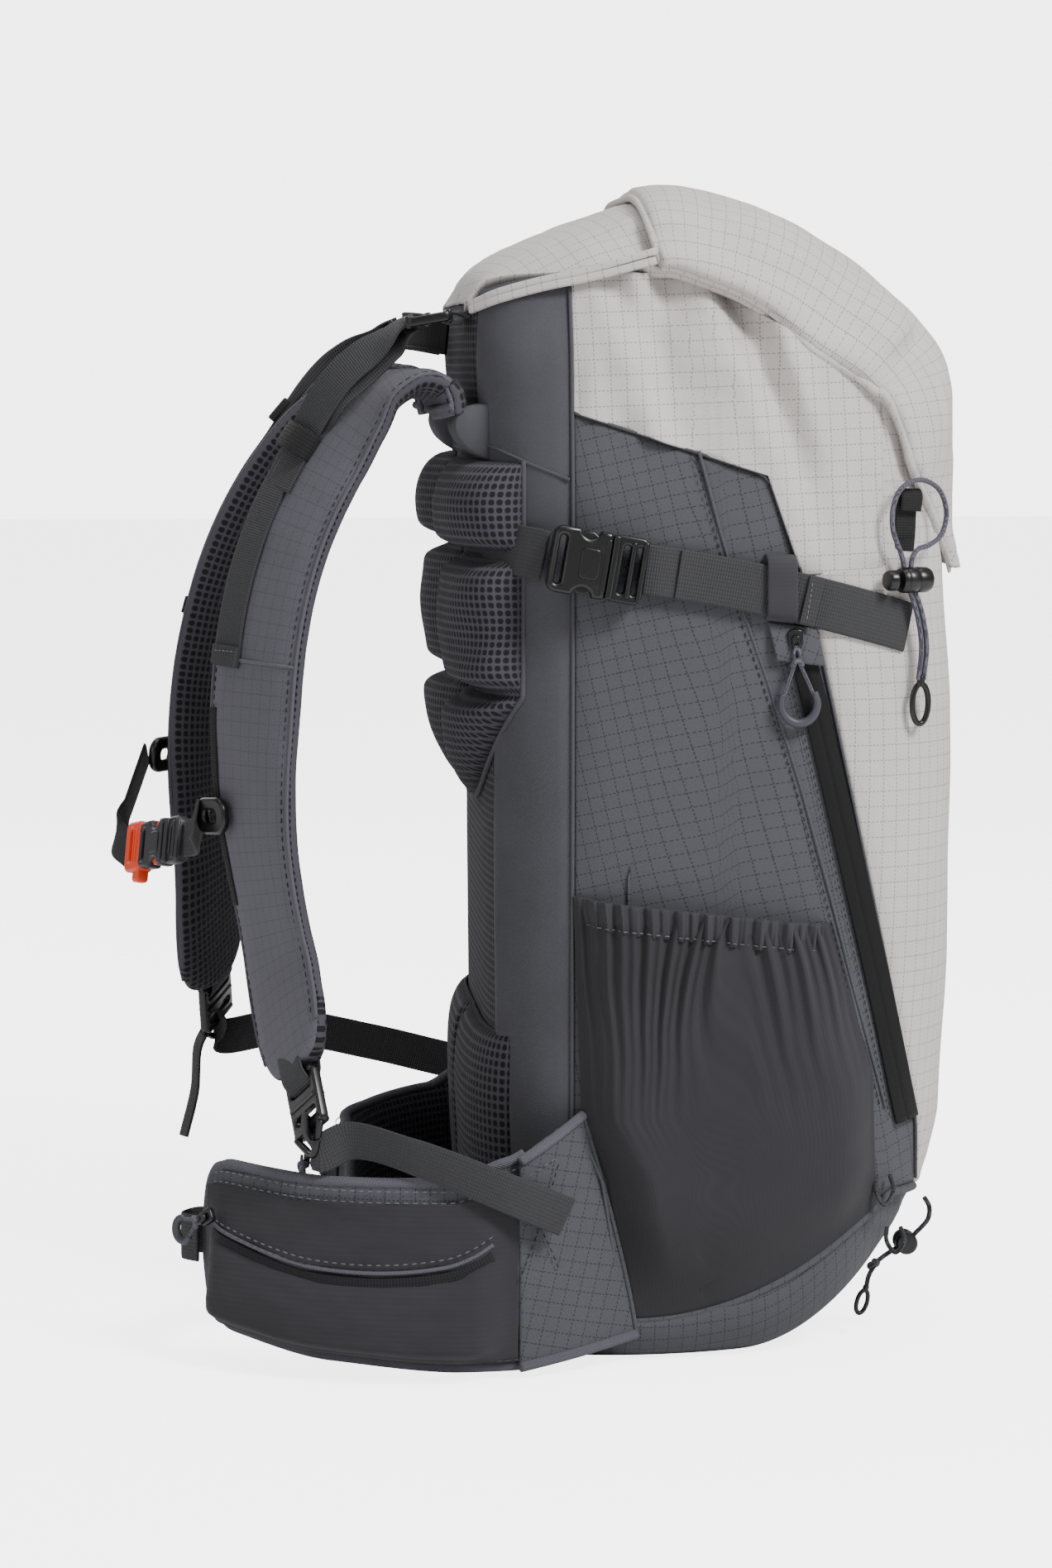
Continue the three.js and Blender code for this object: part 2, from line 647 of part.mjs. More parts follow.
function lowerWebbingFar() {
  const start = lockEnd(FAR_STRAP_SWING);
  const points = [[-start.x, start.y, start.z], [158, 200, 128], [163, 150, 118], [163, 110, 108], [158,
    73, 100]];
  return tape(points, [0.1, 0.35, 1], LOW_WEBBING, 12);
}

// ---------- side compression ----------
const SIDE_BUCKLE_Y = 47; // where the plug's shoulder meets the socket
const SIDE_BUCKLE_Z = 402;
const sideOrigin = vec(-150 - 9.5, SIDE_BUCKLE_Y, SIDE_BUCKLE_Z);
const sideAlong = vec(0, -0.985, -0.17);
const sideOut = vec(-1, 0, 0);
const sideSocket = () => placed(socket(29, 33, 12), sideOrigin, sideAlong, sideOut);
const sidePlug = () => placed(plug(18, 33, 12, 17), sideOrigin, sideAlong, sideOut);

function sideWebbing() {
  const start = SIDE_BUCKLE_Y - 21;
  const zAt = (y) => SIDE_BUCKLE_Z - 2 - (start - y) * 0.14 - (start - y) ** 2 * 0.0007;
  return bent(14, 1, (u, v, w) => {
    const y = mix(start, -103, u);
    const z = zAt(y) + (v - 0.5) * TOP_WEBBING;
    const lift = mix(7, 1, clamp01(u / 0.2)) + w * (u > 0.12 && u < 0.62 ? 3.2 : WEB);
    return ring(leftAngle(y, z), z, lift);
  });
}

function sideZipPull() {
  const at = ring(leftAngle(-46, 360), 360, 5);
  return placed(zipPull(24), at, vec(0.02, -0.06, -1), vec(-1, 0, 0));
}

// ---------- front attachment cord ----------
const TAB_Y = -103;
function frontTab() {
  return bent(2, 4, (u, v, w) => {
    const z = mix(412, 436, v);
    return ring(leftAngle(mix(TAB_Y + 6, TAB_Y - 6, u), z), z, GAP + w * 3);
  });
}

const lockAt = vec(-141, -105, 394);
const lockAlong = vec(0.42, -0.9, 0).normalize();
const cordLock = () => {
  const barrel = rod(6.5, 18, 12).rotateZ(-Math.PI / 2).translate(3, 0, 0);
  const hole = block(-5, 5, -10, 10, -3.4, 3.4);
  return placed(cutBy(barrel, hole), lockAt, lockAlong, vec(0, 0, 1).cross(lockAlong).negate());
};
const cordButton = () => {
  const head = rod(5.2, 5, 12).rotateZ(-Math.PI / 2).translate(-11, 0, 0);
  return placed(head, lockAt, lockAlong, vec(0, 0, 1).cross(lockAlong).negate());
};

const FRONT_CORD = [
  [-137.6, -110.6, 344], [-137.1, -112.1, 361], [-139.1, -109.1, 378], [-141.6, -103.6, 394], [-142, -101,
    406],
  [-145, -96, 419], [-145, -96, 430], [-143, -100, 439], [-139, -107, 443], [-134, -114, 443],
  [-129, -122, 438], [-126, -126, 427], [-129, -123, 416], [-134, -116, 411], [-138, -109.5, 409],
  [-140.2, -106.4, 404], [-140.4, -106.4, 394], [-137.9, -111.9, 378], [-135.9, -114.9, 361],
  [-136.4, -113.4, 344],
];
const frontCord = () => cordTube(FRONT_CORD, 1.25, 57);

// ---------- base tool cord ----------
const BASE_CORD = [
  [-84, -125, 72], [-83.5, -127.4, 68], [-83, -128, 64], [-82.4, -127.2, 60], [-82, -125, 57], [-82, -122,
    54],
  [-82, -119, 51], [-82, -115.5, 48.5], [-82, -112, 46], [-82.4, -108, 43.5], [-83, -104, 41],
  [-83.6, -101, 38.7], [-84, -99, 36], [-84, -97.2, 33], [-84, -96, 30], [-84, -95, 24],
];
const baseCord = () => cordTube(BASE_CORD, 1.25, 18);
const baseCordLock = () => {
  const barrel = rod(6, 15, 12);
  const bore = block(-2.2, 2.2, -12, 12, -2.2, 2.2);
  return placed(cutBy(barrel.rotateZ(Math.PI / 2), bore), vec(-82, -115.5, 48.5), vec(1, 0, 0), vec(0,
    0.58, 0.81));
};

// ---------- haul loop ----------
const haulLoop = () =>
  tape([[-32, 118, 515], [-24, 129, 517], [0, 138, 518], [24, 129, 517], [32, 118, 515]], [0, 0.12, 1], 18,
    14, 2.2);

// ---------- internal frame ----------
// The sheet and its stay are bent to the back panel, just inside it.
const insideBack = (halfSpan, low, high, depth, thick) =>
  bent(2, 10, (u, v, w) => {
    const z = mix(low, high, v);
    return vec(mix(-halfSpan, halfSpan, u), backY(z) - WALL - depth - (1 - w) * thick, z);
  });
const frameSheet = () => insideBack(80, 84, 506, 2.8, 1.6);
const frameStay = () => insideBack(10, 92, 498, 5.4, 3);

// ---------- lid hook ----------
const lidHook = () => {
  const webbingEnd = block(-16, 4, -10, 10, -0.8, 0.8);
  const hook = cutBy(slab(roundedOutline(30, 26, 5), 4).translate(18, 0, 0), block(10, 14, -9, 9, -9, 9),
    block(19, 28, -9, 9, -9, 9));
  return placed(joined(webbingEnd, hook), vec(0, -142, 378), vec(0, -0.02, -1), vec(0, -1, 0));
};

// ---------- scene graph ----------
const backpack = new THREE.Group();
function add(name, geometry, material, parent = backpack) {
  const mesh = new THREE.Mesh(geometry, material());
  mesh.name = name;
  mesh.geometry.computeVertexNormals();
  parent.add(mesh);
}

function pair(name, geometry, material) {
  add(name + "_left", geometry, material);
  add(name + "_right", mirrored(geometry), material);
}

// The right hip wing and everything on it is the left one mirrored, then folded inward.
const farWing = new THREE.Group();
farWing.position.set(152, WING_ROOT_Y, 0);
farWing.rotation.z = THREE.MathUtils.degToRad(FAR_WING_FOLD);
backpack.add(farWing);
const onFarWing = (geometry) => mirrored(geometry).translate(-152, -WING_ROOT_Y, 0);

// The right shoulder strap and what rides on it is the left one mirrored, then swung out about the yoke.
const farStrap = new THREE.Group();
farStrap.position.set(0, HINGE_Y, HINGE_Z);
farStrap.rotation.x = THREE.MathUtils.degToRad(FAR_STRAP_SWING);
backpack.add(farStrap);
const onFarStrap = (geometry) => mirrored(geometry).translate(0, -HINGE_Y, -HINGE_Z);

add("back_panel", backPanel(), plainDark);
add("front_panel", frontPanel(), lightRipstop);
add("base_panel", basePanel(), darkRipstop);
add("frame_sheet", frameSheet(), framePlastic);
add("frame_stay", frameStay(), aluminium);
add("lumbar_pad", lumbarPad(), meshCloth);
add("haul_loop", haulLoop(), webbing);
add("lid", lid(), lightRipstop);
add("lid_hook", lidHook(), aluminium);
pair("side_strip", sideStrip(), plainDark);
pair("side_panel", sidePanel(), darkRipstop);
pair("upper_panel", upperPanel(), lightRipstop);
pair("stretch_pocket", stretchPocket(), knitCloth);
pair("back_pad", backPad(), meshCloth);
pair("lifter_buckle", lifterBuckle(), blackPlastic);
pair("side_webbing", sideWebbing(), webbing);
pair("side_plug", sidePlug(), blackPlastic);
pair("side_buckle", sideSocket(), blackPlastic);
pair("side_zip_pull", sideZipPull(), cordSheath);
pair("hip_tab", hipTab(), darkRipstop);
for (const [piece, geometry, material] of [
  ["shoulder_strap", shoulderStrap(), strapCloth],
  ["ladder_lock", ladderLockLeft(), blackPlastic],
  ["sternum_slider", slider(), blackPlastic],
]) {
  add(piece + "_left", geometry, material);
  add(piece + "_right", onFarStrap(geometry), material, farStrap);
}
add("lifter_webbing_left", lifterWebbing(0), webbing);
add("lifter_webbing_right", mirrored(lifterWebbing(FAR_STRAP_SWING)), webbing);
add("lower_webbing_left", lowerWebbing(), webbing);
add("lower_webbing_right", lowerWebbingFar(), webbing);
add("sternum_webbing_left", sternumNearWebbing(), webbing);
add("sternum_webbing_right", sternumFarWebbing(), webbing);
add("sternum_plug", sternumPlug(), orangePlastic);
add("sternum_buckle", sternumSocket(), greyPlastic);
add("whistle", whistle(), orangePlastic);
for (const [piece, geometry, material] of [
  ["hip_wing", hipWing(), knitCloth],
  ["hip_pocket", hipPocket(), knitCloth],
  ["hip_zip_pull", hipZipPull(), cordSheath],
]) {
  add(piece + "_left", geometry, material);
  add(piece + "_right", onFarWing(geometry), material, farWing);
}
add("hip_buckle", hipSocket(), blackPlastic);
add("hip_plug", onFarWing(hipPlug()), blackPlastic, farWing);
add("front_tab", frontTab(), webbing);
add("front_cord", frontCord(), cordSheath);
add("cord_lock", cordLock(), blackPlastic);
add("cord_lock_button", cordButton(), blackPlastic);
add("base_cord", baseCord(), cordSheath);
add("base_cord_lock", baseCordLock(), blackPlastic);

export default backpack;
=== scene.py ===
"""A roll-top hiking backpack: cloth, padding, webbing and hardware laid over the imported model."""
import bpy
import json
import math
import numpy as np
from mathutils import Vector, noise
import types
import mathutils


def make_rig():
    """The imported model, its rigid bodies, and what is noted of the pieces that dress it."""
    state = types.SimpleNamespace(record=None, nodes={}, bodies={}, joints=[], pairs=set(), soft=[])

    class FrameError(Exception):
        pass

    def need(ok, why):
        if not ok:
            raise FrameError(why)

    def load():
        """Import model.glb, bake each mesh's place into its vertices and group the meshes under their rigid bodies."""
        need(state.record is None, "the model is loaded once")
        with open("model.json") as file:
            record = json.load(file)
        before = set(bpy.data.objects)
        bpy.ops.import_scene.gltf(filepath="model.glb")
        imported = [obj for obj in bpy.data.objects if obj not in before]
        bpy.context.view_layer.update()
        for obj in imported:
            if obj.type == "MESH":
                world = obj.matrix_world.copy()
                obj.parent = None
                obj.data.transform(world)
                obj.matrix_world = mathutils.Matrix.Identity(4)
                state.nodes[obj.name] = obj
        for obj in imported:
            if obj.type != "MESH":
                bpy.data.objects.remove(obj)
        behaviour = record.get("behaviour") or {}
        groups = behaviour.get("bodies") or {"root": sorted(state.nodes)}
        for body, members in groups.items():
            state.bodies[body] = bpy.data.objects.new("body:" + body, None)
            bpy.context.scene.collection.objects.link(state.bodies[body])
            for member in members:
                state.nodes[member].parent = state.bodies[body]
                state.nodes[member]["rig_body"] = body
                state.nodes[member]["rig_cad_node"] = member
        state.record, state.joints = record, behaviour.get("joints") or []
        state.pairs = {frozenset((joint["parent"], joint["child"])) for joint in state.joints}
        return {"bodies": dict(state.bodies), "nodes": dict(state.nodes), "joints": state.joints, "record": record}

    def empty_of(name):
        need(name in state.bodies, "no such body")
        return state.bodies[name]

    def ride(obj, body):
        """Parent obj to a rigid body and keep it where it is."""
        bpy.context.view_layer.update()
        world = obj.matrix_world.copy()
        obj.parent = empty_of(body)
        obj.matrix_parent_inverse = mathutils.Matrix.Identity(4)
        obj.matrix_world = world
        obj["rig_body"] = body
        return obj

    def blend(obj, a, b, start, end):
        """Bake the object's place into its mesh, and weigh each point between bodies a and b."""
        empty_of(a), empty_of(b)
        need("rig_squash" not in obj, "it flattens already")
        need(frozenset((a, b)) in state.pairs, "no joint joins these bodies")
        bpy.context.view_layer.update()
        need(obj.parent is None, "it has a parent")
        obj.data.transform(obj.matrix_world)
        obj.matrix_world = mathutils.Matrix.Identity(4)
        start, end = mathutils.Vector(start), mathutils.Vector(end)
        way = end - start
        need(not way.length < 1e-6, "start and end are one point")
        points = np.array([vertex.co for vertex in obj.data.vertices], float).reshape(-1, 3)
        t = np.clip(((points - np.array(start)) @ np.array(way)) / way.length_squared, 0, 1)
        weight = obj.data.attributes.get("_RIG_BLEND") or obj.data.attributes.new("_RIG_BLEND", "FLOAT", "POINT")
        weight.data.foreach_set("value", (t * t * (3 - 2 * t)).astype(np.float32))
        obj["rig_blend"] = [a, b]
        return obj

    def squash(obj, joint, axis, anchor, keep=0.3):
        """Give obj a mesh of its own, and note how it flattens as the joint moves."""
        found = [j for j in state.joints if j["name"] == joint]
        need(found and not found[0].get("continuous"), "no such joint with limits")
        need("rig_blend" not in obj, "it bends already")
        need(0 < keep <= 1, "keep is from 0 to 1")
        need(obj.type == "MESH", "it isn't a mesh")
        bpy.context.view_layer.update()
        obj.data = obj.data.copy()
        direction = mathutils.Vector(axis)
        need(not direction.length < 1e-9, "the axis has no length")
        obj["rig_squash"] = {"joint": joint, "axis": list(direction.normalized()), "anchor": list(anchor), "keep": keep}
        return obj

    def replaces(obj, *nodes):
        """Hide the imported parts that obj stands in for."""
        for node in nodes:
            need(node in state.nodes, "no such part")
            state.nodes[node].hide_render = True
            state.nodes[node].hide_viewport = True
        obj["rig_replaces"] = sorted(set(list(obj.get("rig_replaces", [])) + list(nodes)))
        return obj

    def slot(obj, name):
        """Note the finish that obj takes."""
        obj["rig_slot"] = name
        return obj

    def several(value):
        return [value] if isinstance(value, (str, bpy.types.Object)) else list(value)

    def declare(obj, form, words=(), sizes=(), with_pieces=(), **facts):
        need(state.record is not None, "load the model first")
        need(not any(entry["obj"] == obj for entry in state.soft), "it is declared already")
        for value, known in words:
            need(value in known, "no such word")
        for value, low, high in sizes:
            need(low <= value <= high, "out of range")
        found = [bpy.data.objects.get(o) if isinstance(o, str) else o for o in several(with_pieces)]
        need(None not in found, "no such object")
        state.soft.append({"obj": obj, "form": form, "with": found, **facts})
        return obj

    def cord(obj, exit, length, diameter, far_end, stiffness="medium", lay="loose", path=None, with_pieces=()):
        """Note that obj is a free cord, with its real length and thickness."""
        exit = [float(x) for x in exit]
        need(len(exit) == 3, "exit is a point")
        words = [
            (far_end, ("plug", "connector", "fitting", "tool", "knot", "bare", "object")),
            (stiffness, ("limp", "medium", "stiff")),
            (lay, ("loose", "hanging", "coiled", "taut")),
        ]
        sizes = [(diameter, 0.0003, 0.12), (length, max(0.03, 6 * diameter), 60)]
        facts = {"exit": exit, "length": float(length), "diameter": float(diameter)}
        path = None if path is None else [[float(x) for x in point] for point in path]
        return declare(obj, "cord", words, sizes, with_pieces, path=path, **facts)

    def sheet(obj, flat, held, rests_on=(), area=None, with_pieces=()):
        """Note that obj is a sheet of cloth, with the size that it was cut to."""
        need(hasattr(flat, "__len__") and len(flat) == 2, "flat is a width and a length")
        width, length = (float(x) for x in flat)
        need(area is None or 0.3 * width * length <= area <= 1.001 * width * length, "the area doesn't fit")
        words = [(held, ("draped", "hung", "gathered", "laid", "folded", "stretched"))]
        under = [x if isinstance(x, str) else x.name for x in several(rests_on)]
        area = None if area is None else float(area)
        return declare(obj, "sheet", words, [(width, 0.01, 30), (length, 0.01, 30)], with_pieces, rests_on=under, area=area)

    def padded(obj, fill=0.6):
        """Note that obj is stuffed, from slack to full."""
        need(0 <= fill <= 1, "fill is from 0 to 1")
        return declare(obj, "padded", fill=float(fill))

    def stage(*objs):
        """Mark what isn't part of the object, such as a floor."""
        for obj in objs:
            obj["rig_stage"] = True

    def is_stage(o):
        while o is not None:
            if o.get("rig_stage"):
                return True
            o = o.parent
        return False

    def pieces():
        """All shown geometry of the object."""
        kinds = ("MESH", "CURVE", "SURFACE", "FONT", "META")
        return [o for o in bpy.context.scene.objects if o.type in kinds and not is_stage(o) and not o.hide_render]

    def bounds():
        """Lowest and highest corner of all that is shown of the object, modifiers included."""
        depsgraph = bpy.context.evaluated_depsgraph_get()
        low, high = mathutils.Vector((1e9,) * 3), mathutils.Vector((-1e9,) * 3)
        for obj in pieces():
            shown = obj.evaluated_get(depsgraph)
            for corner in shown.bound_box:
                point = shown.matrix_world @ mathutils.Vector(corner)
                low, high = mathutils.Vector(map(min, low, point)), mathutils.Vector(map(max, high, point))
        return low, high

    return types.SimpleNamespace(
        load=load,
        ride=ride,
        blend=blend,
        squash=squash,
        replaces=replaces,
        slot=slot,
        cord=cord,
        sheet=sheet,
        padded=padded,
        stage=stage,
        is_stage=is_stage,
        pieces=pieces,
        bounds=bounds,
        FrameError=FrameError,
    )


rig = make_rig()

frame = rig.load()
CAD_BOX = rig.bounds()

MM = 0.001
STRIP_Y = 63.0
BACK_HALF = 104.0
ROUNDNESS = 0.4
FRONT_ROUNDNESS = 0.5
FRONT_TAPER = 0.1
BASE_CORNER_Y = -117.0
FRONT_SEAM_Y = -90.0
HINGE = np.array([0.0, 120.5, 474.0])
WING_ROOT = np.array([152.0, 70.0, 0.0])
FAR_STRAP_SWING = 7.5
FAR_WING_FOLD = 40.0
STRAP_WIDTH = 66.0
STRAP_THICK = 14.0

# ---------------------------------------------------------------- camera, light and floor
CAMERA_AT = Vector((-2.28266, 0.25064, 0.50045))
LOOK_AT = Vector((0.0, 0.075, 0.280))


def make_stage():
    cam = bpy.data.objects.new("camera", bpy.data.cameras.new("camera"))
    bpy.context.scene.collection.objects.link(cam)
    cam.location = CAMERA_AT
    cam.rotation_euler = (LOOK_AT - CAMERA_AT).to_track_quat("-Z", "Y").to_euler()
    cam.data.lens = 100
    cam.data.sensor_width = 36
    cam.data.sensor_fit = "AUTO"
    bpy.context.scene.camera = cam

    def light(name, at, to, size, watts):
        data = bpy.data.lights.new(name, "AREA")
        data.energy = watts
        data.size = size
        lamp = bpy.data.objects.new(name, data)
        lamp.location = at
        lamp.rotation_euler = (Vector(to) - Vector(at)).to_track_quat("-Z", "Y").to_euler()
        bpy.context.scene.collection.objects.link(lamp)

    light("key", (-1.7, -1.5, 2.3), (0, 0, 0.3), 0.9, 112)
    light("fill", (-1.8, 2.2, 1.3), (0, 0, 0.25), 1.8, 17)
    light("top", (0.2, 0.0, 2.6), (0, 0, 0.3), 1.6, 26)
    light("rim", (1.8, 1.2, 1.4), (0, 0, 0.3), 1.4, 15)
    world = bpy.data.worlds.new("studio")
    bpy.context.scene.world = world
    world.use_nodes = True
    world.node_tree.nodes["Background"].inputs[0].default_value = (1, 1, 1, 1)
    seen = world.node_tree.nodes.new("ShaderNodeLightPath").outputs["Is Camera Ray"]
    strength = world.node_tree.nodes.new("ShaderNodeMapRange")
    strength.inputs[3].default_value = 0.34
    strength.inputs[4].default_value = 4.6
    world.node_tree.links.new(seen, strength.inputs[0])
    world.node_tree.links.new(strength.outputs[0], world.node_tree.nodes["Background"].inputs[1])
    floor = bpy.data.meshes.new("floor")
    floor.from_pydata([(-12, -12, 0), (12, -12, 0), (12, 12, 0), (-12, 12, 0)], [], [(0, 1, 2, 3)])
    ground = bpy.data.objects.new("floor", floor)
    bpy.context.scene.collection.objects.link(ground)
    m = bpy.data.materials.new("floor_white")
    m.use_nodes = True
    bsdf = m.node_tree.nodes["Principled BSDF"]
    bsdf.inputs["Base Color"].default_value = (0.97, 0.97, 0.97, 1)
    bsdf.inputs["Roughness"].default_value = 0.85
    bsdf.inputs["Emission Color"].default_value = (1, 1, 1, 1)
    glow = m.node_tree.nodes.new("ShaderNodeMath")
    glow.operation = "MULTIPLY"
    glow.inputs[1].default_value = 3.6
    m.node_tree.links.new(m.node_tree.nodes.new("ShaderNodeLightPath").outputs["Is Camera Ray"],
        glow.inputs[0])
    m.node_tree.links.new(glow.outputs[0], bsdf.inputs["Emission Strength"])
    floor.materials.append(m)
    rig.stage(ground)


make_stage()


# ---------------------------------------------------------------- materials
class Nodes:
    """A material's node tree, with short calls for the nodes that the cloths need."""

    def __init__(self, name, roughness=0.8, metallic=0.0, sheen=0.0, sheen_tint=(1, 1, 1)):
        self.material = bpy.data.materials.new(name)
        self.material.use_nodes = True
        self.tree = self.material.node_tree
        self.bsdf = self.tree.nodes["Principled BSDF"]
        self.bsdf.inputs["Roughness"].default_value = roughness
        self.bsdf.inputs["Metallic"].default_value = metallic
        self.bsdf.inputs["Sheen Weight"].default_value = sheen
        self.bsdf.inputs["Specular IOR Level"].default_value = 0.25 if roughness > 0.6 else 0.45
        self.bsdf.inputs["Sheen Tint"].default_value = (*sheen_tint, 1)

    def put(self, socket, value):
        if isinstance(value, bpy.types.NodeSocket):
            self.tree.links.new(value, socket)
        elif isinstance(value, (tuple, list)) and socket.type == "RGBA":
            socket.default_value = (*value[:3], 1)
        else:
            socket.default_value = value

    def node(self, kind, out=0, props=(), **inputs):
        n = self.tree.nodes.new("ShaderNode" + kind)
        for key, value in dict(props).items():
            setattr(n, key, value)
        for key, value in inputs.items():
            at = int(key[1:]) if key[0] == "i" and key[1:].isdigit() else key
            self.put(n.inputs[at], value)
        return n.outputs[out]

    def math(self, op, a, b=0.0, clamp=False):
        return self.node("Math", props={"operation": op, "use_clamp": clamp}, i0=a, i1=b)

    def uv(self):
        xyz = self.node("SeparateXYZ", i0=self.node("UVMap", props={"uv_map": "UVMap"}))
        return xyz, xyz.node.outputs[1]

    def position(self):
        return self.node("TexCoord", out=3)

    def noise(self, scale, detail=3.0, rough=0.5, vector=None):
        vector = vector if vector is not None else self.position()
        return self.node("TexNoise", i0=vector, Scale=scale, Detail=detail, Roughness=rough)

    def mix(self, factor, a, b):
        n = self.tree.nodes.new("ShaderNodeMix")
        n.data_type = "RGBA"
        self.put(n.inputs["Factor"], factor)
        self.put(n.inputs[6], a)
        self.put(n.inputs[7], b)
        return n.outputs[2]

    def ramp(self, value, low, high):
        return self.node("MapRange", i0=value, i1=low, i2=high, i3=0.0, i4=1.0)

    def finish(self, color, height=None, bump=0.3, distance=0.001, roughness=None):
        self.put(self.bsdf.inputs["Base Color"], color)
        if roughness is not None:
            self.put(self.bsdf.inputs["Roughness"], roughness)
        if height is not None:
            normal = self.node("Bump", Strength=bump, Distance=distance, Height=height)
            self.tree.links.new(normal, self.bsdf.inputs["Normal"])
        return self.material


def scaled(color, k):
    return tuple(c * k for c in color)


def threads(n, pitch):
    """Height of a plain weave with this thread pitch, from the cloth's own UV in metres."""
    u, v = n.uv()
    a = n.math("SINE", n.math("MULTIPLY", u, math.tau / pitch))
    b = n.math("SINE", n.math("MULTIPLY", v, math.tau / pitch))
    return n.math("MULTIPLY", a, b)


def line_grid(n, cell, width, dash):
    """Dotted reinforcing threads along both directions of the cloth."""
    u, v = n.uv()

    def one(across, along):
        at = n.math("FRACT", n.math("DIVIDE", across, cell))
        near = n.math("LESS_THAN", n.math("ABSOLUTE", n.math("SUBTRACT", at, 0.5)), width / cell / 2)
        dots = n.math("LESS_THAN", n.math("FRACT", n.math("DIVIDE", along, dash)), 0.62)
        return n.math("MULTIPLY", near, dots)

    return n.math("MAXIMUM", one(u, v), one(v, u))


def ripstop(name, color, line, cell=0.0072, width=0.0006, strength=0.85):
    n = Nodes(name, roughness=0.82, sheen=0.03)
    lines = line_grid(n, cell, width, 0.0021)
    patchy = n.ramp(n.noise(14.0, 4.0, 0.6), 0.3, 0.7)
    fine = n.noise(900.0, 2.0, 0.6)
    cloth = n.mix(patchy, scaled(color, 0.95), scaled(color, 1.04))
    cloth = n.mix(n.math("MULTIPLY", fine, 0.14), cloth, scaled(color, 0.55))
    tone = n.mix(n.math("MULTIPLY", lines, strength), cloth, line)
    height = n.math("ADD", n.math("MULTIPLY", threads(n, 0.0011), 0.35), n.math("MULTIPLY", lines, -0.8))
    height = n.math("ADD", height, n.math("MULTIPLY", n.noise(60.0, 3.0, 0.55), 0.8))
    return n.finish(tone, height, 0.22, 0.0007)


def plain_weave(name, color, pitch=0.0011, mottle=0.1, sheen=0.03, bump=0.3):
    n = Nodes(name, roughness=0.85, sheen=sheen)
    patchy = n.ramp(n.noise(22.0, 4.0, 0.6), 0.3, 0.7)
    cloth = n.mix(patchy, scaled(color, 1 - mottle), scaled(color, 1 + mottle))
    cloth = n.mix(n.math("MULTIPLY", n.noise(1100.0, 2.0, 0.7), 0.25), cloth, scaled(color, 0.5))
    height = n.math("ADD", threads(n, pitch), n.noise(160.0, 3.0, 0.6))
    return n.finish(cloth, height, bump, 0.0006)


def spacer_mesh(name, color, hole_shade, pitch=0.0078, sheen=0.03):
    """Open 3-D mesh: staggered holes between raised threads, with painted shade in the holes."""
    n = Nodes(name, roughness=0.9, sheen=sheen)
    u, v = n.uv()
    a = n.math("COSINE", n.math("MULTIPLY", u, math.tau / pitch))
    b = n.math("COSINE", n.math("MULTIPLY", v, math.tau / pitch))
    cells = n.math("MULTIPLY", a, b)
    open_ = n.ramp(n.math("ABSOLUTE", cells), 0.30, 0.62)
    # Painted shade: the holes are painted in the dark third colour.
    tone = n.mix(open_, color, hole_shade)
    tone = n.mix(n.math("MULTIPLY", n.noise(700.0, 2.0), 0.25), tone, scaled(color, 0.5))
    height = n.math("SUBTRACT", 1.0, open_)
    return n.finish(tone, height, 0.75, 0.0012)


def knit(name, color, pitch=0.0026):
    n = Nodes(name, roughness=0.9, sheen=0.06)
    u, v = n.uv()
    ribs = n.math("SINE", n.math("MULTIPLY", u, math.tau / pitch))
    loops = n.math("SINE", n.math("MULTIPLY", v, math.tau / (pitch * 0.8)))
    height = n.math("ADD", ribs, n.math("MULTIPLY", loops, 0.12))
    # Painted shade and light: the grooves between the ribs are painted darker and the rib tops lighter, following their
    # height.
    tone = n.mix(n.ramp(height, -1.3, 1.3), scaled(color, 0.93), scaled(color, 1.05))
    tone = n.mix(n.ramp(n.noise(18.0, 3.0), 0.35, 0.7), tone, scaled(color, 0.85))
    return n.finish(tone, height, 0.03, 0.0004)


def ribbed_webbing(name, color, pitch=0.0013):
    """Woven tape: ridges across its width, finer rows along it."""
    n = Nodes(name, roughness=0.75, sheen=0.03)
    u, v = n.uv()
    across = n.math("SINE", n.math("MULTIPLY", u, math.tau / pitch))
    along = n.math("SINE", n.math("MULTIPLY", v, math.tau / 0.0019))
    height = n.math("ADD", across, n.math("MULTIPLY", along, 0.6))
    # Painted shade and light: the grooves between the ridges are painted darker and the ridges lighter, following their
    # height.
    tone = n.mix(n.ramp(height, -1.5, 1.5), scaled(color, 0.78), scaled(color, 1.15))
    tone = n.mix(n.math("MULTIPLY", n.noise(500.0, 2.0), 0.3), tone, scaled(color, 0.6))
    return n.finish(tone, height, 0.35, 0.0005)


def plastic(name, color, roughness=0.36, bump=0.06, wear=0.2):
    n = Nodes(name, roughness=roughness)
    grain = n.noise(1400.0, 2.0, 0.6)
    scuffs = n.ramp(n.noise(90.0, 5.0, 0.7), 0.55, 0.75)
    tone = n.mix(n.math("MULTIPLY", scuffs, wear), color, scaled(color, 1.7))
    rough = n.node("MapRange", i0=scuffs, i1=0.0, i2=1.0, i3=roughness, i4=min(1.0, roughness + 0.2))
    return n.finish(tone, grain, bump, 0.0004, roughness=rough)


def metal(name, color, roughness=0.32):
    n = Nodes(name, roughness=roughness, metallic=1.0)
    brushed = n.noise(600.0, 3.0, 0.7)
    tone = n.mix(n.math("MULTIPLY", brushed, 0.3), color, scaled(color, 0.7))
    return n.finish(tone, brushed, 0.05, 0.0003)


def braided(name, color, raised_strand_color):
    n = Nodes(name, roughness=0.8, sheen=0.1)
    wave = n.node("TexWave", i0=n.position(), Scale=420.0, Distortion=4.0, Detail=2.0)
    # The colour turns lighter where the wave, which also drives the bump, is high.
    tone = n.mix(n.ramp(wave, 0.3, 0.8), color, raised_strand_color)
    return n.finish(tone, wave, 0.4, 0.0005)


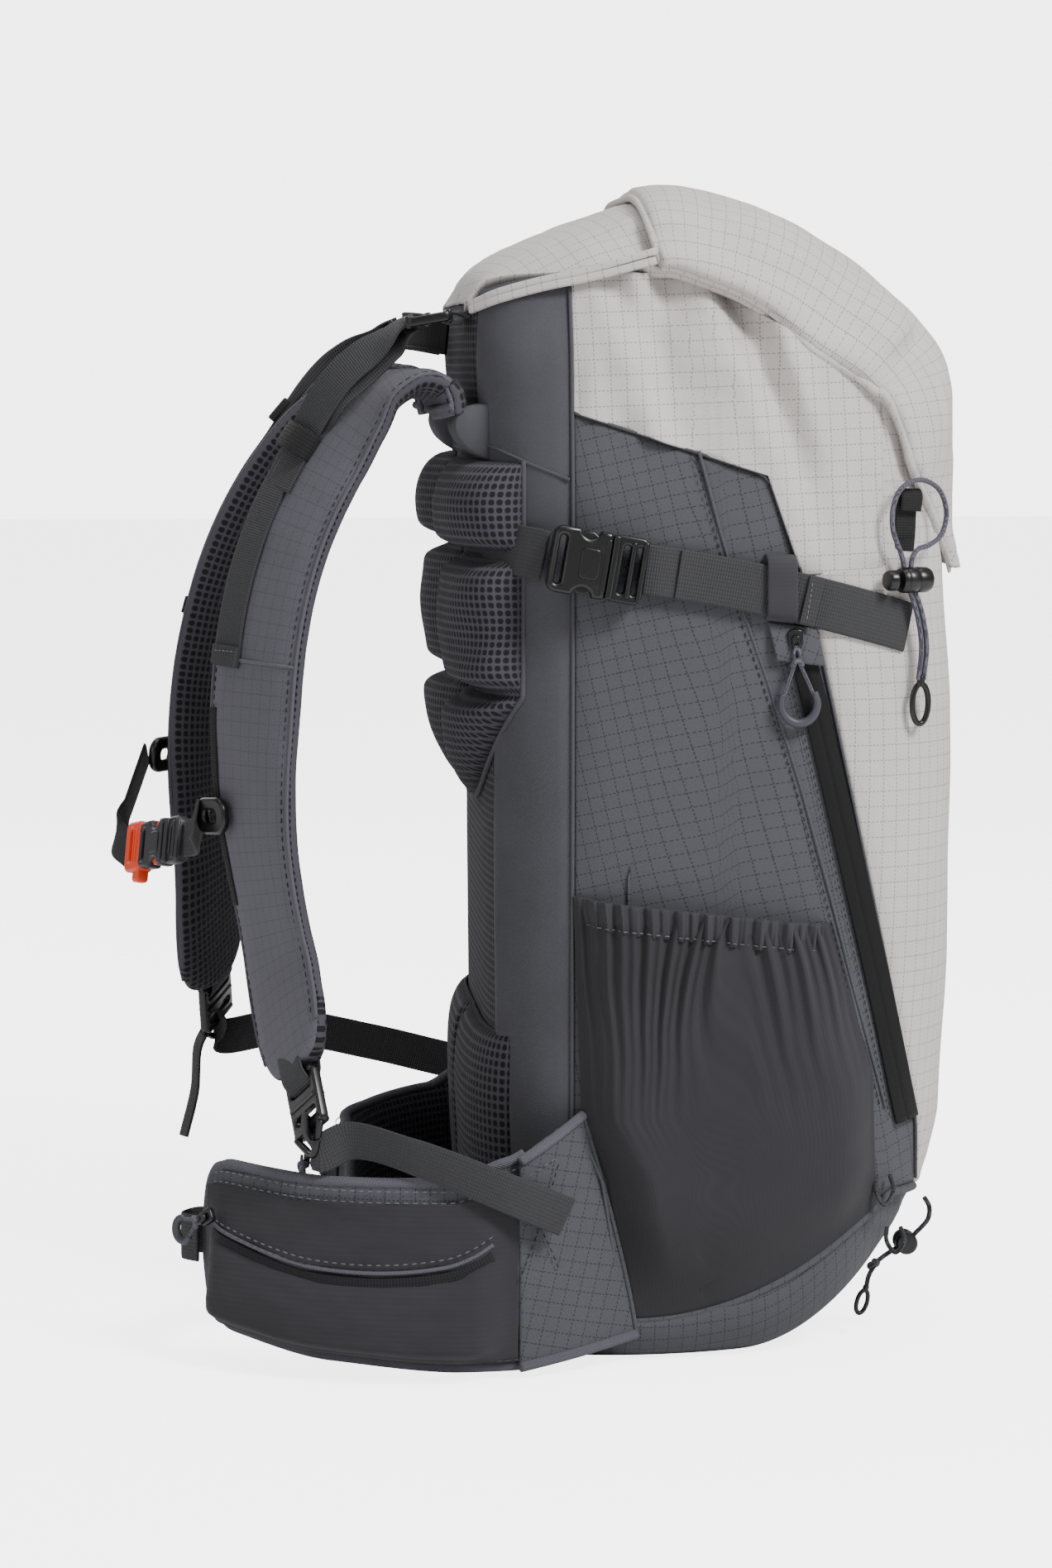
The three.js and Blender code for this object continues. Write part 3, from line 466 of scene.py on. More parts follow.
def coated_zip(name, color):
    """Water-resistant zip tape: smooth coated halves that meet in a fine line."""
    n = Nodes(name, roughness=0.62)
    u, v = n.uv()
    seam = n.math("LESS_THAN", n.math("ABSOLUTE", n.math("SUBTRACT", v, 0.0)), 0.0005)
    teeth = n.math("SINE", n.math("MULTIPLY", u, math.tau / 0.0032))
    near = n.math("LESS_THAN", n.math("ABSOLUTE", v), 0.0032)
    tone = n.mix(seam, color, scaled(color, 0.25))
    height = n.math("ADD", n.math("MULTIPLY", n.math("MULTIPLY", teeth, near), 0.12), n.math("MULTIPLY", seam,
        -3.0))
    height = n.math("ADD", height, n.math("MULTIPLY", n.noise(260.0, 3.0), 0.5))
    return n.finish(tone, height, 0.3, 0.0006)


LIGHT = (0.56, 0.525, 0.505)
DARK = (0.068, 0.0695, 0.0785)
PLAIN = (0.068, 0.0675, 0.078)
STRAP = (0.098, 0.094, 0.114)
MESH = (0.060, 0.056, 0.070)
KNIT = (0.030, 0.029, 0.034)
WEB_GREY = (0.040, 0.040, 0.043)
BLACK = (0.005, 0.005, 0.0055)

M = {
    "light": ripstop("light_ripstop_cloth", LIGHT, (0.10, 0.09, 0.10), cell=0.0077, strength=0.55),
    "light_in": plain_weave("light_lining", scaled(LIGHT, 0.7)),
    "dark": ripstop("dark_ripstop_cloth", DARK, (0.010, 0.010, 0.013), strength=0.62),
    "plain": plain_weave("plain_dark_cloth", PLAIN),
    "strap": ripstop("strap_ripstop_cloth", STRAP, (0.02, 0.02, 0.026), strength=0.35),
    # The third colour of each mesh is painted shade in its holes.
    "mesh": spacer_mesh("spacer_mesh", MESH, (0.006, 0.0055, 0.007)),
    "open_mesh": spacer_mesh("open_mesh", scaled(MESH, 1.15), (0.004, 0.004, 0.005), pitch=0.0088),
    "knit": knit("stretch_knit", KNIT),
    "elastic": knit("elastic_hem", scaled(KNIT, 1.3), 0.0021),
    "binding": plain_weave("binding_tape", scaled(STRAP, 1.0), 0.0016, 0.06, bump=0.45),
    "web": ribbed_webbing("woven_webbing", WEB_GREY),
    "web_black": ribbed_webbing("black_webbing", (0.011, 0.011, 0.012)),
    "thread": plain_weave("stitch_thread", (0.13, 0.125, 0.145), 0.0009),
    "thread_dark": plain_weave("dark_thread", (0.02, 0.02, 0.024), 0.0009),
    "cord": braided("cord_sheath_braid", (0.05, 0.047, 0.062), (0.11, 0.104, 0.135)),
    "cord_black": braided("black_cord_braid", (0.012, 0.012, 0.014), (0.05, 0.05, 0.055)),
    "black": plastic("black_acetal", BLACK, 0.3),
    "grip": plastic("soft_grip", (0.045, 0.042, 0.058), 0.5, 0.15),
    "grey": plastic("grey_acetal", (0.020, 0.019, 0.025), 0.38),
    "orange": plastic("orange_acetal", (0.80, 0.060, 0.016), 0.34, wear=0.04),
    "zip": coated_zip("coated_zip_tape", (0.0028, 0.0028, 0.0034)),
    "zip_coil": ribbed_webbing("zip_coil", (0.012, 0.012, 0.014), 0.0016),
    "metal": metal("brushed_alloy", (0.75, 0.76, 0.78)),
    "sheet": plastic("frame_sheet_plastic", (0.02, 0.02, 0.022), 0.5),
}


# ---------------------------------------------------------------- shape helpers (all in millimetres)
def stations(rows):
    xs, ys = np.array(rows, float).T

    def at(x):
        x = np.asarray(x, float)
        i = np.clip(np.searchsorted(xs, x, side="right") - 1, 0, len(xs) - 2)
        t = np.clip((x - xs[i]) / (xs[i + 1] - xs[i]), 0, 1)
        return ys[i] + (ys[i + 1] - ys[i]) * 0.5 * (t + t * t * (3 - 2 * t))

    return at


def mix(a, b, t):
    return a + (b - a) * t


def smooth(x, low, high):
    t = np.clip((np.asarray(x, float) - low) / (high - low), 0, 1)
    return t * t * (3 - 2 * t)


def spow(t, p):
    return np.sign(t) * np.abs(t) ** p


def unit(v):
    v = np.asarray(v, float)
    return v / np.maximum(np.linalg.norm(v, axis=-1, keepdims=True), 1e-9)


half_width = stations([[0, 134], [60, 140], [150, 147], [300, 150], [430, 149], [500, 141], [548, 125]])
back_y = stations([[0, 92], [40, 98], [130, 102], [290, 103], [400, 107], [530, 116]])
front_y = stations([
    [60, -119], [85, -127], [120, -134], [200, -138.5], [330, -138], [400, -132.5], [500, -128], [548, -112],
])
hem_z = stations([[-92, 497], [-24, 537], [23, 549], [62, 545], [115, 531]])


def base_seam(y):
    return np.minimum(80, 19 + 0.0035 * np.maximum(0, 32 - np.asarray(y, float)) ** 2)


def base_z(y):
    return 0.0085 * np.maximum(0, -25 - np.asarray(y, float)) ** 2


def ring(angle, z, lift=0.0):
    """The bag's outer surface: angle 0 is the right side, 90 the back, 180 the left and 270 the front."""
    angle, z, lift = np.broadcast_arrays(*(np.asarray(q, float) for q in (angle, z, lift)))

    def plain(a):
        c, s = np.cos(a), np.sin(a)
        depth = (back_y(z) - front_y(z)) / 2
        y = (back_y(z) + front_y(z)) / 2 + depth * np.where(s < 0, spow(s, FRONT_ROUNDNESS), spow(s,
            ROUNDNESS))
        taper = np.where(s < 0, 1 - FRONT_TAPER * np.abs(s), 1)
        return np.stack([half_width(z) * spow(c, ROUNDNESS) * taper, y, z], -1)

    a = np.radians(angle)
    along = plain(a + 0.004) - plain(a - 0.004)
    normal = unit(np.stack([along[..., 1], -along[..., 0], np.zeros_like(z)], -1))
    return plain(a) + normal * lift[..., None]


def left_angle(y, z):
    y, z = np.asarray(y, float), np.asarray(z, float)
    share = np.clip((y - (back_y(z) + front_y(z)) / 2) / ((back_y(z) - front_y(z)) / 2), -1, 1)
    return 180 - np.degrees(np.arcsin(np.where(share < 0, spow(share, 1 / FRONT_ROUNDNESS), spow(share,
        1 / ROUNDNESS))))


def back_angle(x, z):
    return np.degrees(np.arccos(spow(np.asarray(x, float) / half_width(z), 1 / ROUNDNESS)))


def on_side(y, z, lift=0.0):
    return ring(left_angle(y, z), z, lift)


def polyline(points):
    """(y, z) along straight legs, by 0..1 of their length."""
    p = np.array(points, float)
    s = np.r_[0, np.cumsum(np.linalg.norm(np.diff(p, axis=0), axis=1))]
    s /= s[-1]
    return lambda t: (np.interp(t, s, p[:, 0]), np.interp(t, s, p[:, 1]))


def side_path(points):
    path = polyline(points)

    def at(t):
        y, z = path(np.clip(t, 0, 1))
        return left_angle(y, z), z

    return at


def spline(points, count=200, even=True):
    """A smooth line through points as f(t) for t in 0..1, spaced by its length or by its control points."""
    p = np.array(points, float)
    q = np.vstack([2 * p[0] - p[1], p, 2 * p[-1] - p[-2]])
    out = []
    for i in range(1, len(q) - 2):
        a, b, c, d = q[i - 1], q[i], q[i + 1], q[i + 2]
        k = [0.0]
        for m, n in ((a, b), (b, c), (c, d)):
            k.append(k[-1] + max(np.linalg.norm(n - m) ** 0.5, 1e-6))
        for t in np.linspace(k[1], k[2], 24, endpoint=False):
            a1 = (k[1] - t) / (k[1] - k[0]) * a + (t - k[0]) / (k[1] - k[0]) * b
            a2 = (k[2] - t) / (k[2] - k[1]) * b + (t - k[1]) / (k[2] - k[1]) * c
            a3 = (k[3] - t) / (k[3] - k[2]) * c + (t - k[2]) / (k[3] - k[2]) * d
            b1 = (k[2] - t) / (k[2] - k[0]) * a1 + (t - k[0]) / (k[2] - k[0]) * a2
            b2 = (k[3] - t) / (k[3] - k[1]) * a2 + (t - k[1]) / (k[3] - k[1]) * a3
            out.append((k[2] - t) / (k[2] - k[1]) * b1 + (t - k[1]) / (k[2] - k[1]) * b2)
    out.append(q[-2])
    out = np.array(out)
    line = out
    if even:
        s = np.r_[0, np.cumsum(np.linalg.norm(np.diff(out, axis=0), axis=1))]
        line = np.stack([np.interp(np.linspace(0, s[-1], count), s, out[:, k]) for k in range(out.shape[1])],
            -1)
    count = len(line)
    step = np.linspace(0, 1, count)
    return lambda t: np.stack([np.interp(t, step, line[:, k]) for k in range(line.shape[1])], -1)


def ripple(p, size, seed=0.0, octaves=2):
    """Smooth noise in -1..1 at each point of an array, with features about size across."""
    flat = np.asarray(p, float).reshape(-1, 3) / size
    vals = [noise.fractal(Vector((float(a) + seed, float(b), float(c))), 1.0, 2.0, octaves) for a, b,
        c in flat]
    return np.array(vals).reshape(np.asarray(p).shape[:-1])


# ---------------------------------------------------------------- making pieces
made = {}


def settle(obj, body):
    """Rides on a body, or bends between two when body is (first, second, start, end) in millimetres."""
    if isinstance(body, str):
        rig.ride(obj, body)
    else:
        first, second, start, end = body
        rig.blend(obj, first, second, tuple(c * MM for c in start), tuple(c * MM for c in end))


def new_object(name, mesh, body, material=None, replaces=(), parent_of=None):
    obj = bpy.data.objects.new(name, mesh)
    bpy.context.scene.collection.objects.link(obj)
    if material is not None:
        for m in material if isinstance(material, (list, tuple)) else [material]:
            mesh.materials.append(M[m])
    for poly in mesh.polygons:
        poly.use_smooth = True
    settle(obj, body)
    if replaces:
        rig.replaces(obj, *replaces)
    made[name] = (obj, body)
    return obj


def grid_faces(rows, cols, wrap=False):
    faces = []
    span = cols if wrap else cols - 1
    for i in range(rows - 1):
        for j in range(span):
            k = (j + 1) % cols
            faces.append((i * cols + j, i * cols + k, (i + 1) * cols + k, (i + 1) * cols + j))
    return faces


def set_uv(mesh, uv):
    layer = mesh.uv_layers.new(name="UVMap")
    index = np.empty(len(mesh.loops), dtype=np.int32)
    mesh.loops.foreach_get("vertex_index", index)
    layer.data.foreach_set("uv", uv[index].astype(np.float32).ravel())


def length_uv(P, turn=0.0, origin=(0, 0)):
    """UV in metres from the lengths along the rows and columns, turned by degrees in the cloth."""
    du = np.linalg.norm(np.diff(P, axis=1), axis=2)
    dv = np.linalg.norm(np.diff(P, axis=0), axis=2)
    u = np.concatenate([np.zeros((len(P), 1)), np.cumsum(du, axis=1)], axis=1)
    v = np.concatenate([np.zeros((1, P.shape[1])), np.cumsum(dv, axis=0)], axis=0)
    u -= u[:, [P.shape[1] // 2]]
    return turned(u + origin[0], v + origin[1], turn)


def even_uv(P):
    """UV in metres for a quilted grid: one mean width for all rows, so its channels shear no thread."""
    du = np.linalg.norm(np.diff(P, axis=1), axis=2).mean(axis=0)
    u = np.concatenate([[0.0], np.cumsum(du)])
    return np.stack([np.broadcast_to(u, P.shape[:2]), P[..., 2]], -1) * MM


def turned(u, v, degrees):
    a = math.radians(degrees)
    return np.stack([u * math.cos(a) - v * math.sin(a), u * math.sin(a) + v * math.cos(a)], -1) * MM


def outward_fix(P, faces, outward):
    """Turns the faces round if the grid's own normal disagrees with the direction given."""
    r, c = P.shape[0] // 2, P.shape[1] // 2
    n = np.cross(P[r, c + 1 if c + 1 < P.shape[1] else c] - P[r, c - 1], P[min(r + 1, len(P) - 1),
        c] - P[r - 1, c])
    return faces if np.dot(n, outward) > 0 else [f[::-1] for f in faces]


def sheet(name, P, body, material, thick=1.2, uv=None, replaces=(), outward=None, level=0):
    """A sheet of cloth through a grid of points, thickened inward."""
    rows, cols = P.shape[:2]
    faces = grid_faces(rows, cols)
    if outward is not None:
        faces = outward_fix(P, faces, np.asarray(outward, float))
    mesh = bpy.data.meshes.new(name)
    mesh.from_pydata((P.reshape(-1, 3) * MM).tolist(), [], faces)
    set_uv(mesh, (uv if uv is not None else length_uv(P)).reshape(-1, 2))
    obj = new_object(name, mesh, body, material, replaces)
    if thick:
        solid = obj.modifiers.new("thickness", "SOLIDIFY")
        solid.thickness = thick * MM
        solid.offset = -1
        solid.use_rim = True
    if level:
        sub = obj.modifiers.new("smooth", "SUBSURF")
        sub.levels = level
        sub.render_levels = level
    return obj


def loft(name, P, body, material, replaces=(), cap=True, uv=None, index=None, level=0):
    """A closed body through rings of points: P[i] is one ring."""
    rows, cols = P.shape[:2]
    faces = grid_faces(rows, cols, wrap=True)
    points = P.reshape(-1, 3)
    uvs = uv if uv is not None else None
    if uvs is None:
        closed = np.concatenate([P, P[:, :1]], axis=1)
        uvs = length_uv(closed)[:, :-1]
    uvs = uvs.reshape(-1, 2)
    if cap:
        for i in (0, rows - 1):
            k = len(points)
            points = np.vstack([points, P[i].mean(axis=0)])
            uvs = np.vstack([uvs, uvs[i * cols]])
            for j in range(cols):
                a, b = i * cols + j, i * cols + (j + 1) % cols
                faces.append((k, b, a) if i == 0 else (k, a, b))
    centre = points.mean(axis=0)
    volume = 0.0
    for f in faces:
        a, b, c = points[f[0]] - centre, points[f[1]] - centre, points[f[2]] - centre
        volume += np.dot(a, np.cross(b, c))
    if volume < 0:
        faces = [f[::-1] for f in faces]
    mesh = bpy.data.meshes.new(name)
    mesh.from_pydata((points * MM).tolist(), [], faces)
    set_uv(mesh, uvs)
    obj = new_object(name, mesh, body, material, replaces)
    if index is not None:
        side = index(np.arange(rows - 1)[:, None] / max(rows - 2, 1), np.arange(cols)[None, :] / cols)
        side = np.broadcast_to(side, (rows - 1, cols)).ravel()
        for k, value in enumerate(side):
            mesh.polygons[k].material_index = int(value)
    if level:
        sub = obj.modifiers.new("smooth", "SUBSURF")
        sub.levels = level
        sub.render_levels = level
    return obj


def frames_along(path, count, across=None):
    """Positions, width directions and normals along a line."""
    t = np.linspace(0, 1, count)
    p = path(t)
    tangent = unit(np.gradient(p, axis=0))
    if across is None:
        side = [unit(np.cross(tangent[0], [0.13, 0.21, 1.0]))]
        for k in range(1, count):
            s = side[-1] - tangent[k] * np.dot(side[-1], tangent[k])
            side.append(unit(s))
        side = np.array(side)
    else:
        side = np.asarray(across(t), float) if callable(across) else np.broadcast_to(np.asarray(across,
            float), p.shape)
        side = unit(side - tangent * np.sum(side * tangent, axis=1, keepdims=True))
    return p, tangent, side, np.cross(tangent, side)


def tube(name, points, radius, body, material, replaces=(), count=None, sides=12, taper=None):
    path = spline(points, 400)
    count = count or max(12, len(points) * 6)
    p, _, side, normal = frames_along(path, count)
    a = np.linspace(0, math.tau, sides, endpoint=False)
    r = radius * (taper(np.linspace(0, 1, count)) if taper else np.ones(count))
    P = p[:, None] + r[:, None, None] * (np.cos(a)[None, :, None] * side[:, None] + np.sin(a)[None, :,
        None] * normal[:, None])
    return loft(name, P, body, material, replaces)


def tape(name, points, across, width, body, material, thick=1.6, replaces=(), count=None, cols=7, path=None,
        edge=0.35):
    """Flat webbing along a line, with its own rounded selvedges."""
    path = path or spline(points, 400)
    count = count or 60
    p, _, side, normal = frames_along(path, count, across)
    w = width(np.linspace(0, 1, count)) if callable(width) else np.full(count, float(width))
    a = np.linspace(0, math.tau, 16, endpoint=False)
    s, h = spow(np.cos(a), 0.25), spow(np.sin(a), 0.6)
    P = p[:, None] + (w[:, None] / 2 * s[None])[..., None] * side[:, None] + (thick / 2 * h)[None, :,
        None] * normal[:, None]
    lengths = np.r_[0, np.cumsum(np.linalg.norm(np.diff(p, axis=0), axis=1))]
    uv = np.stack(np.broadcast_arrays(lengths[:, None], w[:, None] / 2 * s[None]), -1) * MM
    return loft(name, P, body, material, replaces, uv=uv)


def stitches(name, path, body, material="thread", length=3.2, gap=1.6, radius=0.42, lift=None, wave=0.0):
    """A row of stitches along a line given as f(t)."""
    t = np.linspace(0, 1, 800)
    p = path(t)
    s = np.r_[0, np.cumsum(np.linalg.norm(np.diff(p, axis=0), axis=1))]
    total = s[-1]
    verts, faces = [], []
    start = 0.5
    while start + length < total:
        ts = np.interp([start, start + length * 0.5, start + length], s, t)
        a, m, b = path(ts)
        d = unit(b - a)
        n1 = unit(np.cross(d, [0.3, 0.5, 0.81]))
        n2 = np.cross(d, n1)
        k = len(verts)
        for centre, r in ((a, 0.35), (mix(a, m, 0.5), 1.0), (mix(m, b, 0.5), 1.0), (b, 0.35)):
            for q in range(5):
                ang = q * math.tau / 5
                verts.append(centre + radius * r * (math.cos(ang) * n1 + math.sin(ang) * n2))
        for i in range(3):
            for q in range(5):
                faces.append((k + i * 5 + q, k + i * 5 + (q + 1) % 5, k + (i + 1) * 5 + (q + 1) % 5,
                    k + (i + 1) * 5 + q))
        faces.append(tuple(k + q for q in range(4, -1, -1)))
        faces.append(tuple(k + 15 + q for q in range(5)))
        start += length + gap
    mesh = bpy.data.meshes.new(name)
    mesh.from_pydata((np.array(verts) * MM).tolist(), [], faces)
    set_uv(mesh, np.array(verts)[:, :2] * MM)
    return new_object(name, mesh, body, material)


def rounded(length, width, radius, n=6, at=(0, 0)):
    pts = []
    for cx, cy, a0 in ((1, -1, -90), (1, 1, 0), (-1, 1, 90), (-1, -1, 180)):
        for k in range(n + 1):
            a = math.radians(a0 + 90 * k / n)
            pts.append((at[0] + cx * (length / 2 - radius) + radius * math.cos(a),
                        at[1] + cy * (width / 2 - radius) + radius * math.sin(a)))
    return pts


def basis(origin, along, outward):
    x = unit(along)
    y = unit(np.cross(outward, x))
    return np.asarray(origin, float), x, y, np.cross(x, y)


def plate(outline, holes, thick, bevel=0.8, z=0.0):
    """A moulded plate with rounded edges, drawn in its own plane: returns its mesh data in millimetres."""
    cu = bpy.data.curves.new("plate", "CURVE")
    cu.dimensions = "2D"
    cu.fill_mode = "BOTH"
    cu.extrude = max(thick / 2 - bevel, 0.01)
    cu.bevel_depth = bevel
    cu.bevel_resolution = 2
    cu.offset = -bevel
    for loop in [outline, *holes]:
        sp = cu.splines.new("POLY")
        sp.points.add(len(loop) - 1)
        for k, (x, y) in enumerate(loop):
            sp.points[k].co = (x, y, 0, 1)
        sp.use_cyclic_u = True
    tmp = bpy.data.objects.new("plate_tmp", cu)
    bpy.context.scene.collection.objects.link(tmp)
    me = bpy.data.meshes.new_from_object(tmp.evaluated_get(bpy.context.evaluated_depsgraph_get()))
    v = np.empty(len(me.vertices) * 3)
    me.vertices.foreach_get("co", v)
    v = v.reshape(-1, 3) + (0, 0, z)
    f = [tuple(p.vertices) for p in me.polygons]
    bpy.data.objects.remove(tmp)
    bpy.data.curves.remove(cu)
    bpy.data.meshes.remove(me)
    return v, f


def turned_rod(profile, axis=(1, 0, 0), at=(0, 0, 0), sides=28):
    """A turned piece: profile is [position along the axis, radius]."""
    x = unit(axis)
    y = unit(np.cross(x, [0.1, 0.2, 1.0]))
    z = np.cross(x, y)
    v, f = [], []
    for px, r in profile:
        for k in range(sides):
            a = k * math.tau / sides
            v.append(np.asarray(at) + x * px + r * (math.cos(a) * y + math.sin(a) * z))
    f += grid_faces(len(profile), sides, wrap=True)
    f.append(tuple(range(sides - 1, -1, -1)))
    f.append(tuple(range((len(profile) - 1) * sides, len(profile) * sides)))
    return np.array(v), f


def assembled(name, parts, where, body, material, replaces=()):
    """Joins plates and rods, drawn in a local frame, into one object at a place on the bag."""
    origin, x, y, z = where
    verts, faces = [], []
    for v, f in parts:
        k = sum(len(a) for a in verts)
        verts.append(origin + v[:, :1] * x + v[:, 1:2] * y + v[:, 2:3] * z)
        faces += [tuple(i + k for i in q) for q in f]
    V = np.vstack(verts)
    mesh = bpy.data.meshes.new(name)
    mesh.from_pydata((V * MM).tolist(), [], faces)
    set_uv(mesh, V[:, :2] * MM)
    obj = new_object(name, mesh, body, material, replaces)
    mesh.polygons.foreach_set("use_smooth", [False] * len(mesh.polygons))
    try:
        mesh.set_sharp_from_angle(angle=math.radians(35))
        mesh.polygons.foreach_set("use_smooth", [True] * len(mesh.polygons))
    except AttributeError:
        pass
    return obj


def swing(p, degrees=FAR_STRAP_SWING):
    a = math.radians(degrees)
    q = np.asarray(p, float) - HINGE
    c, s = math.cos(a), math.sin(a)
    return np.stack([q[..., 0], q[..., 1] * c - q[..., 2] * s, q[..., 1] * s + q[..., 2] * c], -1) + HINGE


def fold(p, degrees=FAR_WING_FOLD):
    a = math.radians(degrees)
    q = np.asarray(p, float) - WING_ROOT
    c, s = math.cos(a), math.sin(a)
    return np.stack([q[..., 0] * c - q[..., 1] * s, q[..., 0] * s + q[..., 1] * c, q[..., 2]], -1) + WING_ROOT


def twin(obj, name, body, replaces=(), move=None):
    """The same piece on the other side of the bag."""
    mesh = obj.data.copy()
    v = np.empty(len(mesh.vertices) * 3)
    mesh.vertices.foreach_get("co", v)
    v = v.reshape(-1, 3) / MM * (-1, 1, 1)
    if move:
        v = move(v)
    mesh.vertices.foreach_set("co", (v * MM).ravel())
    mesh.flip_normals()
    other = bpy.data.objects.new(name, mesh)
    bpy.context.scene.collection.objects.link(other)
    for m in obj.modifiers:
        k = other.modifiers.new(m.name, m.type)
        for key in ("thickness", "offset", "use_rim", "levels", "render_levels"):
            if hasattr(m, key):
                setattr(k, key, getattr(m, key))
    settle(other, body)
    if replaces:
        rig.replaces(other, *replaces)
    made[name] = (other, body)
    return other


def both(obj, body=None, replaces=(), move=None):
    name = obj.name
    other = name.replace("_left", "_right") if "_left" in name else name + "_right"
    return twin(obj, other, body or made[name][1], replaces, move)


# ---------------------------------------------------------------- cords, as they lie on the bag
FRONT_CORD = [(-137.6, -110.6, 344), (-137.1, -112.1, 361), (-139.1, -109.1, 378), (-141.6, -103.6, 394),
    (-142, -101, 406), (-145, -96, 419), (-145, -96, 430), (-143, -100, 439), (-139, -107, 443), (-134, -114,
    443), (-129, -122, 438), (-126, -126, 427), (-129, -123, 416), (-134, -116, 411), (-138, -109.5, 409),
    (-140.2, -106.4, 404), (-140.4, -106.4, 394), (-137.9, -111.9, 378), (-135.9, -114.9, 361), (-136.4,
    -113.4, 344),]
BASE_CORD = [(-84, -125, 72), (-83.5, -127.4, 68), (-83, -128, 64), (-82.4, -127.2, 60), (-82, -125, 57),
    (-82, -122, 54), (-82, -119, 51), (-82, -115.5, 48.5), (-82, -112, 46), (-82.4, -108, 43.5), (-83, -104,
    41), (-83.6, -101, 38.7), (-84, -99, 36), (-84, -97.2, 33), (-84, -96, 30), (-84, -95, 24),]
CORD_RADIUS = 1.3


def cord_curve(name, points, radius, material, replaces, body="bag"):
    cu = bpy.data.curves.new(name, "CURVE")
    cu.dimensions = "3D"
    cu.bevel_depth = radius * MM
    cu.bevel_resolution = 3
    line = spline(points, 90)(np.linspace(0, 1, 90))
    sp = cu.splines.new("POLY")
    sp.points.add(len(line) - 1)
    for k, p in enumerate(line):
        sp.points[k].co = (*(c * MM for c in p), 1)
    cu.use_fill_caps = True
    obj = bpy.data.objects.new(name, cu)
    bpy.context.scene.collection.objects.link(obj)
    cu.materials.append(M[material])
    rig.ride(obj, body)
    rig.replaces(obj, replaces)
    return obj


def end_loop(name, top, drop, body, material="black", width=9.0, radius=1.5):
    """An elongated moulded loop that crimps a cord's end."""
    top = np.asarray(top, float)
    down = unit(drop)
    side = unit(np.cross(down, [1.0, 0.35, 0.0]))
    length = np.linalg.norm(drop)
    a = np.linspace(0, math.tau, 41)
    pts = [
        top + down * (length * 0.56 - length * 0.40 * math.cos(t)) + side * width / 2 * math.sin(t) for t in a]
    ring_ = tube(name, pts, radius, body, material, count=64)
    stem = tube(name + "_stem", [top, top + down * length * 0.1, top + down * length * 0.2], radius * 1.35,
        body, material, count=10)
    return ring_, stem


def cord_length(points):
    p = spline(points, 600)(np.linspace(0, 1, 600))
    return float(np.linalg.norm(np.diff(p, axis=0), axis=1).sum()) * MM


front_cord = cord_curve("elastic_cord", FRONT_CORD, CORD_RADIUS, "cord", "front_cord")
base_cord = cord_curve("base_cord_run", BASE_CORD, CORD_RADIUS, "cord_black", "base_cord")
front_end = end_loop("cord_end_loop", (-137, -112, 346), np.array([0.6, 0.4, -25.0]), "bag")
base_end = end_loop("base_cord_end_loop", (-84, -95.2, 26), np.array([0.4, 4.0, -15.0]), "bag", width=6.0,
    radius=1.2)
lock_knot = tube("base_cord_knot", [(-85, -99, 39), (-82, -101, 37.5), (-82, -98, 35.5), (-85, -97, 37), (-85,
    -99.5, 38)], 1.7, "bag", "cord_black", count=40)


# ---------------------------------------------------------------- bag walls
def coons(edges, nu, nv):
    u, v = np.meshgrid(np.linspace(0, 1, nu + 1), np.linspace(0, 1, nv + 1))
    at = []
    for k in (0, 1):
        sides = mix(edges["left"](v)[k], edges["right"](v)[k], u)
        ends = mix(edges["bottom"](u)[k], edges["top"](u)[k], v)
        b, t = edges["bottom"], edges["top"]
        corners = mix(mix(b(0.0)[k], b(1.0)[k], u), mix(t(0.0)[k], t(1.0)[k], u), v)
        at.append(sides + ends - corners)
    return u, v, at[0], at[1]


def relaxed(P, rounds):
    """The same grid with its inner points eased toward their neighbours."""
    for _ in range(rounds):
        P = P.copy()
        P[1:-1, 1:-1] = 0.5 * P[1:-1, 1:-1] + 0.125 * (P[2:, 1:-1] + P[:-2, 1:-1] + P[1:-1, 2:] + P[1:-1,
            :-2])
    return P


def wall(name, edges, nu, nv, lift, body, material, thick=1.4, uv=None, replaces=(), outward=(-1, 0, 0),
        relax=2):
    u, v, angle, z = coons(edges, nu, nv)
    flat = ring(angle, z)
    P = relaxed(ring(angle, z, lift(u, v, flat)), relax)
    cloth = uv(u, v, flat) if uv else None
    return sheet(name, P, body, material, thick, cloth, replaces, outward)


BOUNDARY = [[BASE_CORNER_Y, 84], [-114, 120], [-58, 368], [-50, 398], [-33, 446]]
GAP = 0.4


def shifted(points, dy, dz=0.0):
    return [[y + dy, z + dz] for y, z in points]


def puff(u, v, height=2.0, edge=0.08):
    """Cloth rises a little between its seams and turns down into them."""
    a = smooth(np.minimum(u, 1 - u), 0, edge)
    b = smooth(np.minimum(v, 1 - v), 0, edge)
    return height * a * b


def side_lift(u, v, P):
    folds = 1.1 * ripple(P * (1, 1, 0.6), 70, 3.0) + 0.35 * ripple(P, 24, 9.0)
    return -0.6 + puff(u, v, 1.9) + folds * smooth(np.minimum(np.minimum(u, 1 - u), np.minimum(v, 1 - v)), 0,
        0.1)


def tilted_uv(degrees):
    return lambda u, v, P: turned(-P[..., 1], P[..., 2], degrees)


